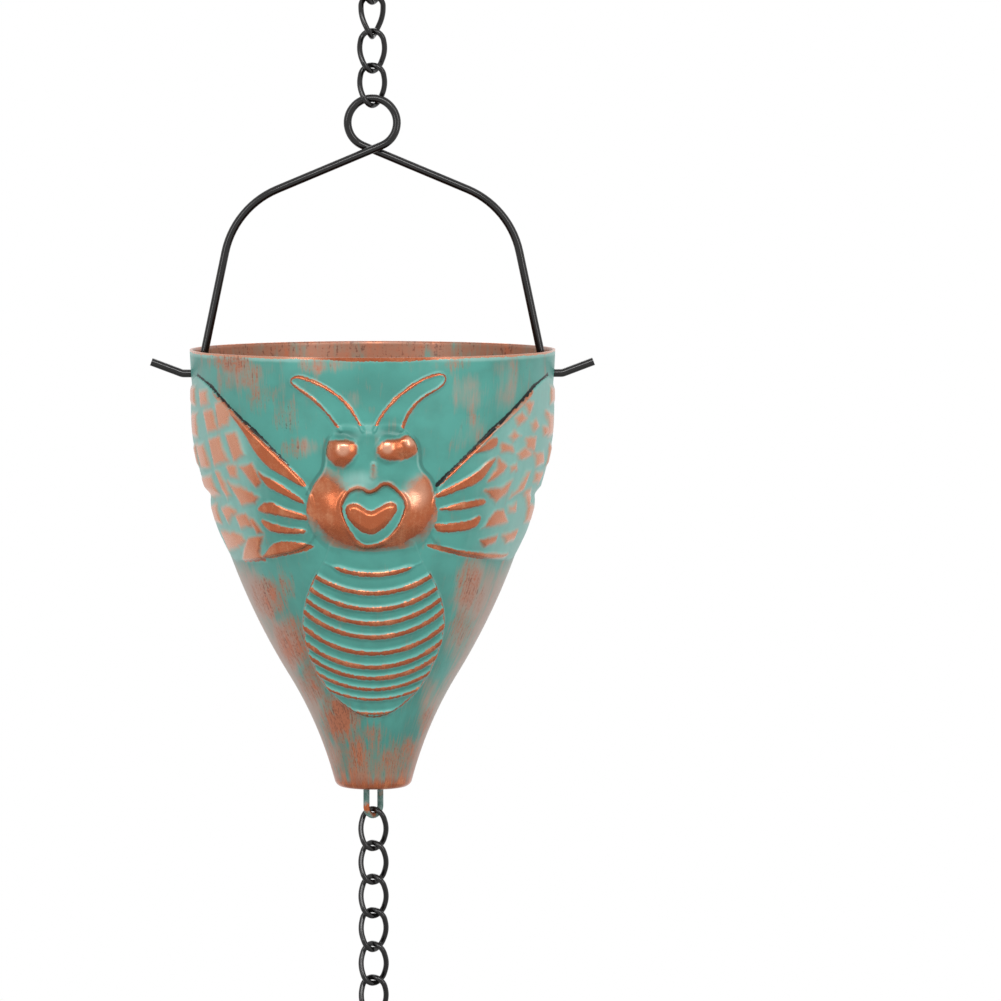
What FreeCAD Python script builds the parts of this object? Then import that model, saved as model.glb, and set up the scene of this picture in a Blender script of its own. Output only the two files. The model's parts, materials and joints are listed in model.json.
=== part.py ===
"""One unit of a rain chain: a cup on a wire bail, with twisted links above and below it.

Millimetres, +Z up. The origin is the hang point, under the top bend of the top link.
The front of the cup faces -Y, and the bail's ends lie along X.
"""
import FreeCAD, Part
import Sketcher
import math
import os
from FreeCAD import Placement, Rotation, Vector

# name, value and meaning of each driving size
SIZES = [
    ("link_wire", 1.5, "wire of a chain link"),
    ("link_length", 12.5, "link, over its two ends"),
    ("link_width", 8.6, "link, over its two sides at half height"),
    ("link_end_width", 7.6, "link, over the corners that its end bends round off"),
    ("link_side_radius", 9.0, "gentle bend in the middle of a link's side"),
    ("link_twist", 45.0, "turn of each end bend from the link's middle, in degrees"),
    ("chain_slack", 0.15, "free play where one wire hangs on another"),
    ("bail_wire", 2.2, "wire of the bail"),
    ("ring_radius", 6.7, "centre line of the ring at the top of the bail"),
    ("crossing_gap", 0.1, "room between the two strands that cross under the ring"),
    ("ring_height", 68.4, "ring centre above the hinge axis"),
    ("shoulder_reach", 37.6, "corner of the bail from its middle"),
    ("shoulder_height", 45.4, "corner of the bail above the hinge axis"),
    ("shoulder_radius", 24.0, "bend at the corner of the bail"),
    ("leg_inset", 2.8, "foot of a leg, inward from the cup's rim"),
    ("leg_radius", 2.0, "bend from a leg into the hinge"),
    ("kink_reach", 2.0, "start of a bent-up end, outward from the cup's rim"),
    ("kink_radius", 2.5, "bend where an end turns up"),
    ("tip_reach", 10.5, "tip of a bent-up end, outward from the cup's rim"),
    ("tip_rise", 3.2, "tip of a bent-up end above the hinge axis"),
    ("rim_radius", 50.0, "cup, outside at the rim"),
    ("rim_lean", 2.0, "lean of the cup's wall at the rim, in degrees"),
    ("cup_height", 120.3, "cup, rim to spout"),
    ("waist_radius", 23.1, "cup, outside where its wall turns hollow"),
    ("neck_length", 31.0, "waist above the spout"),
    ("spout_radius", 10.2, "cup, outside at the spout"),
    ("lip_radius", 2.2, "rounding where the wall turns in under the spout"),
    ("lip_width", 3.0, "lip under the spout, from its outside to the outlet"),
    ("cup_wall", 0.7, "sheet of the cup"),
    ("hinge_drop", 6.6, "hinge axis below the rim"),
    ("hole_clearance", 0.15, "room round the bail's wire in its hole"),
    ("eye_wire", 1.7, "wire of the eye under the spout"),
    ("eye_half_gap", 2.7, "centre line of an eye's strand from its middle"),
    ("eye_drop", 9.0, "eye, below the spout"),
    ("eye_bend", 1.3, "bend from a strand of the eye into its foot"),
    ("eye_rest", 1.2, "foot of the eye, past the edge of the outlet"),
    ("eye_seat", 0.05, "room under a foot of the eye"),
    ("eye_turn", 45.0, "turn of the eye about the chain, in degrees"),
    ("relief_root", 0.3, "depth that the relief is bonded into the sheet"),
    ("wing_relief", 1.2, "wing, above the cup's outside"),
    ("wing_turn", 52.0, "middle of a wing from the front, in degrees"),
    ("wing_tip_side", 19.5, "wing's upper corner, outward from its middle"),
    ("wing_tip_drop", 5.5, "wing's upper corner, below the rim"),
    ("wing_root_side", 23.0, "wing's root, inward from its middle"),
    ("wing_root_top", 34.4, "top of a wing's root, below the rim"),
    ("wing_root_height", 17.0, "height of a wing's root"),
    ("wing_foot_drop", 58.0, "wing's lower corner, below the rim"),
    ("wing_notch_drop", 37.8, "notch between a wing's two lobes, below the rim"),
    ("wing_notch_side", 21.5, "notch between a wing's two lobes, outward from its middle"),
    ("wing_lobe_bulge", 3.6, "round of a wing's lobe"),
    ("face_relief", 3.4, "face, above the cup's outside"),
    ("face_root", 4.0, "middle of the face, below the cup's outside"),
    ("cheek_half_width", 17.6, "face, across the cheeks"),
    ("cheek_half_height", 12.5, "face, height of the cheeks"),
    ("cheek_drop", 39.5, "middle of the cheeks, below the rim"),
    ("brow_half_width", 12.8, "face, across the brow"),
    ("brow_half_height", 9.5, "face, height of the brow"),
    ("brow_drop", 27.0, "middle of the brow, below the rim"),
    ("eyeball_radius", 3.8, "round eye of the face"),
    ("eyeball_side", 7.0, "round eye from the middle of the face"),
    ("eyeball_drop", 25.2, "round eye, below the rim"),
    ("eyeball_relief", 4.4, "round eye, above the cup's outside"),
    ("mouth_half_width", 6.6, "heart-shaped mouth"),
    ("mouth_height", 7.8, "heart-shaped mouth"),
    ("mouth_drop", 39.8, "top of the heart-shaped mouth, below the rim"),
    ("mouth_relief", 0.7, "heart-shaped mouth, above the cheeks"),
    ("antenna_relief", 0.8, "antenna, above the cup's outside"),
    ("antenna_width", 4.4, "antenna"),
    ("antenna_bow", 2.4, "bow of an antenna between its ends"),
    ("antenna_tip_side", 19.0, "tip of an antenna from the middle"),
    ("antenna_tip_drop", 7.2, "tip of an antenna, below the rim"),
    ("antenna_foot_side", 5.0, "foot of an antenna from the middle"),
    ("antenna_foot_drop", 21.0, "foot of an antenna, below the rim"),
    ("body_relief", 0.8, "striped body, above the cup's outside"),
    ("body_half_width", 18.8, "striped body"),
    ("body_half_height", 23.5, "striped body"),
    ("body_drop", 76.0, "middle of the striped body, below the rim"),
    ("stripe_relief", 1.4, "stripe, above the cup's outside"),
    ("stripe_width", 1.2, "stripe"),
    ("stripe_radius", 27.4, "bend of a stripe"),
    ("stripe_first_drop", 58.8, "lowest point of the first stripe, below the rim"),
    ("stripe_pitch", 3.9, "from one stripe to the next"),
]

# turn of each link about the chain, in degrees: the run never hangs quite straight
UPPER_TURNS = [12.0, 24.0, 38.0, 15.0, 15.0]
LOWER_TURNS = [0.0, 0.0, 0.0, 10.0, 0.0, 10.0, 20.0, 10.0, 0.0]

# the ring is bent round this many corners, each nearly as round as its two runs allow
RING_CORNERS = 6
RING_SHARE = 0.98

# stripes across the body
STRIPES = 10

doc = FreeCAD.newDocument("rain_chain")
sheet = doc.addObject("Spreadsheet::Sheet", "sizes")
for row, (name, value, meaning) in enumerate(SIZES, start=1):
    sheet.set(f"A{row}", meaning)
    sheet.set(f"B{row}", str(value))
    sheet.setAlias(f"B{row}", name)
doc.recompute()


def size(name):
    return float(sheet.get(name))


def rounded_path(points, radii):
    """Wire of straight runs through the points, with a tangent arc at each inner point."""
    edges = []
    start = points[0]
    for before, corner, after, radius in zip(points, points[1:], points[2:], radii):
        back = (before - corner).normalize()
        ahead = (after - corner).normalize()
        half_turn = (math.pi - back.getAngle(ahead)) / 2
        reach = radius * math.tan(half_turn)
        entry = corner + back * reach
        leave = corner + ahead * reach
        inward = (back + ahead).normalize()
        middle = corner + inward * (radius / math.cos(half_turn) - radius)
        edges.append(Part.LineSegment(start, entry).toShape())
        edges.append(Part.Arc(entry, middle, leave).toShape())
        start = leave
    edges.append(Part.LineSegment(start, points[-1]).toShape())
    return Part.Wire(edges)


def wire_sweep(name, points, radii, diameter):
    """Round wire bent along a path. The diameter is the name of a size."""
    path = doc.addObject("Part::Feature", name + "_path")
    path.Shape = rounded_path(points, radii)
    section = doc.addObject("Part::Circle", name + "_section")
    section.setExpression("Radius", f"sizes.{diameter} / 2")
    section.Placement = Placement(points[0], Rotation(Vector(0, 0, 1), points[1] - points[0]))
    sweep = doc.addObject("Part::Sweep", name)
    sweep.Sections = [section]
    sweep.Spine = (path, [f"Edge{n + 1}" for n in range(len(path.Shape.Edges))])
    sweep.Solid = True
    sweep.Frenet = False
    doc.recompute()
    return sweep


def place(feature, label, drop, turn=0.0):
    """Give a piece its name, its place on the chain's line and its turn about that line."""
    feature.Label = label
    feature.Placement = Placement(Vector(0, 0, 0), Rotation(Vector(0, 0, 1), turn))
    feature.setExpression("Placement.Base.z", drop)
    return feature


def link_halves():
    """The two halves of a twisted link. A half turn about the chain makes one of the other."""
    half_length = (size("link_length") - size("link_wire")) / 2
    half_width = (size("link_width") - size("link_wire")) / 2
    half_end = (size("link_end_width") - size("link_wire")) / 2
    twist = math.radians(size("link_twist"))
    top = Vector(half_end * math.cos(twist), -half_end * math.sin(twist), half_length)
    bottom = Vector(top.x, -top.y, -top.z)
    side_half_turn = math.atan2(half_width - top.x, math.hypot(top.y, top.z))
    side_inset = size("link_side_radius") * (1 / math.cos(side_half_turn) - 1)
    side = Vector(half_width + side_inset, 0, 0)
    top_middle = Vector(0, 0, half_length)
    bottom_middle = Vector(0, 0, -half_length)
    end_half_turn = (math.pi - (top_middle - top).getAngle(side - top)) / 2
    end_radius = (half_end - size("chain_slack")) / math.tan(end_half_turn)
    points = [top_middle, top, side, bottom, bottom_middle]
    radii = [end_radius, size("link_side_radius"), end_radius]
    halves = []
    for name, turn in (("link_half", 0), ("link_other_half", 180)):
        half = wire_sweep(name, points, radii, "link_wire")
        half.Placement = Placement(Vector(0, 0, 0), Rotation(Vector(0, 0, 1), turn))
        halves.append(half)
    return halves


def chain_run(prefix, turns, first_bearing):
    """A run of links, each hung on the one above. The bearing is the height of its hang point."""
    links = []
    for index, turn in enumerate(turns):
        link = doc.addObject("Part::Fuse", f"{prefix}_{index + 1}")
        link.Base, link.Tool = link_parts
        drop = f"{first_bearing} - (sizes.link_length / 2 - sizes.link_wire) - {index} * {LINK_PITCH}"
        links.append(place(link, f"{prefix}_{index + 1}", drop, turn))
    return links


def bail():
    """Wire bail: end, leg and shoulder on each side, and a ring whose strands cross under it."""
    ring_radius = size("ring_radius")
    ring_height = size("ring_height")
    shoulder = Vector(size("shoulder_reach"), 0, size("shoulder_height"))
    to_ring = Vector(shoulder.x, 0, ring_height - shoulder.z)
    slope = math.atan2(to_ring.z, to_ring.x) - math.asin(ring_radius / to_ring.Length)
    corner_turn = (2 * math.pi - 2 * slope) / RING_CORNERS
    corner_distance = ring_radius / math.cos(corner_turn / 2)
    offset = (size("bail_wire") + size("crossing_gap")) / 2
    ring = []
    for index in range(RING_CORNERS):
        bearing = slope + (index + 0.5) * corner_turn - math.pi / 2
        x = corner_distance * math.cos(bearing)
        ring.append(Vector(x, 0, ring_height + corner_distance * math.sin(bearing)))
    offset *= (shoulder.x + ring[0].x) / shoulder.x
    for index, corner in enumerate(ring):
        corner.y = offset * (2 * index / (RING_CORNERS - 1) - 1)
    right = [
        shoulder,
        Vector(size("rim_radius") - size("leg_inset"), 0, 0),
        Vector(size("rim_radius") + size("kink_reach"), 0, 0),
        Vector(size("rim_radius") + size("tip_reach"), 0, size("tip_rise")),
    ]
    left = [Vector(-point.x, 0, point.z) for point in reversed(right)]
    side_radii = [size("shoulder_radius"), size("leg_radius"), size("kink_radius")]
    ring_radii = [ring_radius * RING_SHARE] * RING_CORNERS
    radii = side_radii[::-1] + ring_radii + side_radii
    return wire_sweep("bail", left + ring + right, radii, "bail_wire")


def origin_plane(body, role):
    return next(plane for plane in body.Origin.OriginFeatures if plane.Role == role)


def sketch_on(body, name, role):
    sketch = body.newObject("Sketcher::SketchObject", name)
    sketch.AttachmentSupport = (origin_plane(body, role), [""])
    sketch.MapMode = "FlatFace"
    return sketch


def drive(sketch, name, constraint, expression):
    """Add a dimension to a sketch and bind it to the sheet."""
    index = sketch.addConstraint(constraint)
    sketch.renameConstraint(index, name)
    sketch.setExpression("Constraints." + name, expression)


def arc_between(centre, first, last):
    """Arc about a centre, anticlockwise from one point to another."""
    circle = Part.Circle(centre, Vector(0, 0, 1), (first - centre).Length)
    angles = [math.atan2(p.y - centre.y, p.x - centre.x) % (2 * math.pi) for p in (first, last)]
    if angles[1] < angles[0]:
        angles[1] += 2 * math.pi
    return Part.ArcOfCircle(circle, *angles)


def cup_arcs():
    """Points and arc centres of the cup's outside, seen as radius and height from the rim."""
    rim = Vector(size("rim_radius"), 0, 0)
    waist = Vector(size("waist_radius"), size("neck_length") - size("cup_height"), 0)
    spout = Vector(size("spout_radius"), -size("cup_height"), 0)
    lean = math.radians(size("rim_lean"))
    inward = Vector(-math.cos(lean), math.sin(lean), 0)
    to_waist = waist - rim
    belly_centre = rim + inward * (to_waist.dot(to_waist) / (2 * to_waist.dot(inward)))
    outward = (waist - belly_centre).normalize()
    to_spout = spout - waist
    neck_centre = waist + outward * (to_spout.dot(to_spout) / (2 * to_spout.dot(outward)))
    return rim, waist, spout, belly_centre, neck_centre


def cup_radius(drop):
    """Radius of the cup's outside at a depth below the rim, above the waist."""
    rim, waist, spout, belly_centre, neck_centre = cup_arcs()
    belly_radius = (rim - belly_centre).Length
    return belly_centre.x + math.sqrt(belly_radius ** 2 - (drop + belly_centre.y) ** 2)


def cup_profile(body):
    """Half of the cup's outside: a full arc from rim to waist, then a hollow one to the spout."""
    rim, waist, spout, belly_centre, neck_centre = cup_arcs()
    origin = Vector(0, 0, 0)
    foot = Vector(0, spout.y, 0)
    lean = math.radians(size("rim_lean"))
    lean_end = rim - Vector(math.tan(lean), 1, 0) * size("hinge_drop")
    sketch = sketch_on(body, "cup_profile", "XZ_Plane")
    sketch.addGeometry([
        Part.LineSegment(origin, rim),
        arc_between(belly_centre, waist, rim),
        arc_between(neck_centre, waist, spout),
        Part.LineSegment(spout, foot),
        Part.LineSegment(foot, origin),
        Part.LineSegment(rim, lean_end),
    ])
    sketch.toggleConstruction(5)
    sketch.addConstraint([
        Sketcher.Constraint("Coincident", 0, 1, -1, 1),
        Sketcher.Constraint("Coincident", 0, 2, 1, 2),
        Sketcher.Constraint("Tangent", 1, 1, 2, 1),
        Sketcher.Constraint("Coincident", 2, 2, 3, 1),
        Sketcher.Constraint("Coincident", 3, 2, 4, 1),
        Sketcher.Constraint("Coincident", 4, 2, 0, 1),
        Sketcher.Constraint("Horizontal", 0),
        Sketcher.Constraint("Horizontal", 3),
        Sketcher.Constraint("Vertical", 4),
        Sketcher.Constraint("Tangent", 1, 2, 5, 1),
    ])
    drive(sketch, "rim", Sketcher.Constraint("DistanceX", 0, 1, 0, 2, rim.x), "sizes.rim_radius")
    lean_in = "sizes.hinge_drop * tan(sizes.rim_lean * 1 deg)"
    drive(sketch, "lean", Sketcher.Constraint("DistanceX", 5, 2, 5, 1, rim.x - lean_end.x), lean_in)
    drive(sketch, "lean_end", Sketcher.Constraint("DistanceY", 5, 2, 5, 1, -lean_end.y), "sizes.hinge_drop")
    drive(sketch, "waist", Sketcher.Constraint("DistanceX", 0, 1, 1, 1, waist.x), "sizes.waist_radius")
    drive(sketch, "neck", Sketcher.Constraint("DistanceY", 2, 2, 2, 1, waist.y - spout.y), "sizes.neck_length")
    drive(sketch, "spout", Sketcher.Constraint("DistanceX", 0, 1, 2, 2, spout.x), "sizes.spout_radius")
    drive(sketch, "height", Sketcher.Constraint("DistanceY", 4, 1, 4, 2, -spout.y), "sizes.cup_height")
    doc.recompute()
    return sketch


def cup_outside():
    """Outside of the cup as a solid, rounded where it turns in under the spout."""
    body = doc.addObject("PartDesign::Body", "cup_outside")
    revolution = body.newObject("PartDesign::Revolution", "cup_turned")
    revolution.Profile = cup_profile(body)
    revolution.ReferenceAxis = (revolution.Profile[0], ["V_Axis"])
    revolution.Angle = 360
    doc.recompute()
    lip = body.newObject("PartDesign::Fillet", "cup_lip")
    lip.Base = (revolution, [f"Edge{lowest_edge(revolution)}"])
    lip.setExpression("Radius", "sizes.lip_radius")
    doc.recompute()
    return body


def lowest_edge(feature):
    edges = feature.Shape.Edges
    return min(range(len(edges)), key=lambda n: edges[n].BoundBox.ZMax) + 1


def skin(name, height, foot_drop):
    """Solid whose outside lies a height above the cup's outside, from the rim to a foot."""
    rim, waist, spout, belly_centre, neck_centre = cup_arcs()
    belly_radius = (rim - belly_centre).Length + height
    neck_radius = (waist - neck_centre).Length - height
    foot_height = -foot_drop

    def belly(z):
        x = belly_centre.x + math.sqrt(belly_radius ** 2 - (z - belly_centre.y) ** 2)
        return Vector(x, 0, z)

    def neck(z):
        x = neck_centre.x - math.sqrt(neck_radius ** 2 - (z - neck_centre.y) ** 2)
        return Vector(x, 0, z)

    turn = waist + (waist - belly_centre).normalize() * height
    turn = Vector(turn.x, 0, turn.y)
    top = Vector(0, 0, 0)
    foot = Vector(0, 0, foot_height)
    edges = [
        Part.LineSegment(top, belly(0)).toShape(),
        Part.Arc(belly(0), belly(turn.z / 2), turn).toShape(),
        Part.Arc(turn, neck((turn.z + foot_height) / 2), neck(foot_height)).toShape(),
        Part.LineSegment(neck(foot_height), foot).toShape(),
        Part.LineSegment(foot, top).toShape(),
    ]
    section = doc.addObject("Part::Feature", name + "_section")
    section.Shape = Part.Face(Part.Wire(edges))
    solid = doc.addObject("Part::Revolution", name)
    solid.Source = section
    solid.Axis = Vector(0, 0, 1)
    solid.Angle = 360
    return solid


def outline(points, bulges):
    """Closed outline seen from the front. Each side has a bulge, 0 where it is straight."""
    edges = []
    for first, last, bulge in zip(points, points[1:] + points[:1], bulges):
        start = Vector(first[0], 0, -first[1])
        end = Vector(last[0], 0, -last[1])
        if bulge == 0:
            edges.append(Part.LineSegment(start, end).toShape())
        else:
            run = (end - start).normalize()
            middle = (start + end) / 2 + Vector(-run.z, 0, run.x) * bulge
            edges.append(Part.Arc(start, middle, end).toShape())
    return Part.Face(Part.Wire(edges))


def prism(name, flat_shape):
    """Prism of a flat shape, from the cup's middle out through its front."""
    flat = doc.addObject("Part::Feature", name + "_outline")
    flat.Shape = flat_shape
    solid = doc.addObject("Part::Extrusion", name + "_prism")
    solid.Base = flat
    solid.DirMode = "Custom"
    solid.Dir = Vector(0, -1, 0)
    solid.setExpression("LengthFwd", "2 * sizes.rim_radius")
    return solid


def common(name, first, second):
    result = doc.addObject("Part::Common", name)
    result.Base = first
    result.Tool = second
    return result


def wing(name, side, surface):
    """One wing, raised as a pad with an upper and a lower lobe."""
    corners = [
        (size("wing_tip_side"), size("wing_tip_drop")),
        (-size("wing_root_side"), size("wing_root_top")),
        (-size("wing_root_side"), size("wing_root_top") + size("wing_root_height")),
        (size("wing_notch_side") - size("wing_lobe_bulge"), size("wing_foot_drop")),
        (size("wing_notch_side"), size("wing_notch_drop")),
    ]
    points = [(side * x, drop) for x, drop in corners]
    lobe = side * size("wing_lobe_bulge")
    solid = prism(name, outline(points, [0, 0, 0, -lobe, -lobe]))
    solid.Placement.Rotation = Rotation(Vector(0, 0, 1), side * size("wing_turn"))
    return common(name, solid, surface)


def antenna(name, side, surface):
    """One antenna, a bowed band that runs up and out from the brow."""
    foot = Vector(size("antenna_foot_side"), size("antenna_foot_drop"), 0)
    tip = Vector(size("antenna_tip_side"), size("antenna_tip_drop"), 0)
    run = (tip - foot).normalize()
    across = Vector(-run.y, run.x, 0) * (size("antenna_width") / 2)
    corners = [foot - across, tip - across, tip + across, foot + across]
    points = [(side * corner.x, corner.y) for corner in corners]
    bulges = [size("antenna_bow"), size("antenna_width") / 2, -size("antenna_bow"), 0]
    solid = prism(name, outline(points, [side * bulge for bulge in bulges]))
    return common(name, solid, surface)


def swelling(name, half_width, half_height, relief, drop, side=0.0):
    """Rounded swelling on the front of the cup, sunk into the wall to its own root."""
    root = size("face_root")
    solid = doc.addObject("Part::Ellipsoid", name)
    solid.Radius1 = half_height
    solid.Radius2 = half_width
    solid.Radius3 = relief + root
    solid.Angle1 = -90
    solid.Angle2 = 90
    solid.Angle3 = 360
    depth = math.sqrt(cup_radius(drop) ** 2 - side ** 2) - root
    solid.Placement.Base = Vector(side, -depth, -drop)
    return solid


def face():
    """Face: broad cheeks under a narrower brow, with round eyes and a heart-shaped mouth."""
    cheek_sizes = size("cheek_half_width"), size("cheek_half_height")
    cheeks = swelling("cheeks", *cheek_sizes, size("face_relief"), size("cheek_drop"))
    brow_sizes = size("brow_half_width"), size("brow_half_height")
    brow = swelling("brow", *brow_sizes, size("face_relief"), size("brow_drop"))
    eyeballs = []
    for name, side in (("left_eyeball", -1), ("right_eyeball", 1)):
        radius = size("eyeball_radius")
        spot = size("eyeball_drop"), side * size("eyeball_side")
        eyeballs.append(swelling(name, radius, radius, size("eyeball_relief"), *spot))
    mouth_side = size("mouth_half_width")
    mouth_top = size("mouth_drop")
    points = [(0, mouth_top + mouth_side / 3), (-mouth_side, mouth_top + mouth_side / 3)]
    points.append((0, mouth_top + size("mouth_height")))
    points.append((mouth_side, mouth_top + mouth_side / 3))
    lobe = mouth_side / 3
    heart = prism("mouth", outline(points, [-lobe, -lobe / 2, -lobe / 2, -lobe]))
    mouth_cheeks = [half + size("mouth_relief") for half in cheek_sizes]
    mouth_height = size("face_relief") + size("mouth_relief")
    cover = swelling("mouth_cover", *mouth_cheeks, mouth_height, size("cheek_drop"))
    return [cheeks, brow, *eyeballs, common("mouth", heart, cover)]


def ring_face(centre, radius, width):
    """Flat ring that faces the front."""
    wires = []
    for edge_radius in (radius + width / 2, radius - width / 2):
        wires.append(Part.Wire([Part.makeCircle(edge_radius, centre, Vector(0, -1, 0))]))
    return Part.Face(wires, "Part::FaceMakerBullseye")


def striped_body(surface, stripe_surface):
    """Oval body, with thin ridges across it that hang in shallow bows."""
    middle = Vector(0, 0, -size("body_drop"))
    ellipse = Part.Ellipse(Vector(0, 0, 0), size("body_half_height"), size("body_half_width"))
    oval_edge = ellipse.toShape()
    oval_edge.Placement = Placement(middle, Rotation(Vector(0, 0, 1), Vector(-1, 0, 0), Vector(0, -1, 0)))
    oval = prism("body", Part.Face(Part.Wire([oval_edge])))
    rings = []
    for index in range(STRIPES):
        lowest = size("stripe_first_drop") + index * size("stripe_pitch")
        centre = Vector(0, 0, size("stripe_radius") - lowest)
        rings.append(ring_face(centre, size("stripe_radius"), size("stripe_width")))
    ridges = common("stripes_in_body", prism("stripes", Part.Compound(rings)), oval)
    return [common("body", oval, surface), common("stripes", ridges, stripe_surface)]


def figure():
    """Winged figure on the front of the cup, down to a root inside its outside."""
    foot_drop = size("cup_height") - size("lip_radius")
    wing_skin = skin("wing_skin", size("wing_relief"), foot_drop)
    antenna_skin = skin("antenna_skin", size("antenna_relief"), foot_drop)
    body_skin = skin("body_skin", size("body_relief"), foot_drop)
    stripe_skin = skin("stripe_skin", size("stripe_relief"), foot_drop)
    raised = face() + striped_body(body_skin, stripe_skin)
    for name, side in (("left", -1), ("right", 1)):
        raised.append(wing(name + "_wing", side, wing_skin))
        raised.append(antenna(name + "_antenna", side, antenna_skin))
    whole = doc.addObject("Part::MultiFuse", "whole_figure")
    whole.Shapes = raised
    front = doc.addObject("Part::Cut", "front_figure")
    front.Base = whole
    front.Tool = skin("figure_core", -size("relief_root"), foot_drop)
    return front


def cup_inside():
    """What is taken out of the cup: its inside, the outlet and the two holes of the hinge."""
    wall = size("cup_wall")
    room = skin("inside_turned", -wall, size("cup_height") - wall)
    doc.recompute()
    inside = doc.addObject("Part::Fillet", "inside")
    inside.Base = room
    inside.Edges = [(lowest_edge(room), size("lip_radius") - wall, size("lip_radius") - wall)]
    outlet = doc.addObject("Part::Cylinder", "outlet")
    outlet.setExpression("Radius", "sizes.spout_radius - sizes.lip_width")
    outlet.setExpression("Height", "2 * sizes.lip_radius")
    outlet.setExpression("Placement.Base.z", "-sizes.cup_height - sizes.lip_radius")
    hinge = doc.addObject("Part::Cylinder", "hinge_holes")
    hinge.setExpression("Radius", "sizes.bail_wire / 2 + sizes.hole_clearance")
    hinge.setExpression("Height", "4 * sizes.rim_radius")
    hinge.Placement.Rotation = Rotation(Vector(0, 1, 0), 90)
    hinge.setExpression("Placement.Base.x", "-2 * sizes.rim_radius")
    hinge.setExpression("Placement.Base.z", "-sizes.hinge_drop")
    return [inside, outlet, hinge]


def cup():
    """Sheet cup with a figure raised on its front, and the same on its back."""
    outside = cup_outside()
    front = figure()
    back = doc.addObject("Part::Compound", "back_figure")
    back.Links = [front]
    back.Placement.Rotation = Rotation(Vector(0, 0, 1), 180)
    solid = doc.addObject("Part::MultiFuse", "cup_solid")
    solid.Shapes = [outside, front, back]
    taken = doc.addObject("Part::MultiFuse", "cup_taken")
    taken.Shapes = cup_inside()
    whole = doc.addObject("Part::Cut", "cup")
    whole.Base = solid
    whole.Tool = taken
    doc.recompute()
    return whole


def bottom_eye():
    """Wire staple: a loop under the spout, with feet that rest on the lip inside it."""
    foot_height = size("cup_wall") + size("eye_seat") + size("eye_wire") / 2
    loop_height = size("eye_wire") / 2 - size("eye_drop")
    half_gap = size("eye_half_gap")
    right = [
        Vector(half_gap, 0, loop_height),
        Vector(half_gap, 0, foot_height),
        Vector(size("spout_radius") - size("lip_width") + size("eye_rest"), 0, foot_height),
    ]
    left = [Vector(-point.x, 0, point.z) for point in reversed(right)]
    bend = size("eye_bend")
    loop = half_gap * RING_SHARE
    return wire_sweep("bottom_eye", left + right, [bend, loop, loop, bend], "eye_wire")


def check_pieces(pieces):
    for item in doc.Objects:
        if "Invalid" in item.State or "Error" in item.State:
            raise RuntimeError(f"{item.Name}: {item.State}")
    for piece in pieces:
        shape = piece.Shape
        if shape.isNull() or not shape.isValid() or len(shape.Solids) != 1:
            raise RuntimeError(f"{piece.Label} is not one sound solid")


# heights along the chain, from the hang point down, as expressions of the sheet
LINK_PITCH = "(sizes.link_length - 2 * sizes.link_wire - sizes.chain_slack)"
RING_BEARING = f"-{len(UPPER_TURNS)} * {LINK_PITCH}"
HINGE_HEIGHT = f"{RING_BEARING} + sizes.bail_wire / 2 - sizes.ring_radius - sizes.ring_height"
RIM_HEIGHT = f"{HINGE_HEIGHT} + sizes.hinge_drop"
SPOUT_HEIGHT = f"{RIM_HEIGHT} - sizes.cup_height"
EYE_BEARING = f"{SPOUT_HEIGHT} - sizes.eye_drop + sizes.eye_wire + sizes.chain_slack"

link_parts = link_halves()
pieces = chain_run("upper_link", UPPER_TURNS, "0")
pieces.append(place(bail(), "bail", HINGE_HEIGHT))
pieces.append(place(cup(), "cup", RIM_HEIGHT))
pieces.append(place(bottom_eye(), "bottom_eye", SPOUT_HEIGHT, size("eye_turn")))
pieces += chain_run("lower_link", LOWER_TURNS, EYE_BEARING)
doc.recompute()
check_pieces(pieces)

os.makedirs("parts", exist_ok=True)
for piece in pieces:
    piece.Shape.exportStep(os.path.join("parts", piece.Label + ".step"))
    print(f"{piece.Label}: {piece.Shape.Volume:.1f} mm3")
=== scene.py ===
# %% [markdown]
# # Dressing a rain chain
#
# A rain chain leads water from a gutter down through small cups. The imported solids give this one
# its sizes and its joints. This notebook adds what they leave out: the fine relief pressed into
# the cup, teal paint worn down to copper, black wire, light and a camera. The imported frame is
# loaded first, and its box is kept to compare with at the end.

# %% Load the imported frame
import json
import math

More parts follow.
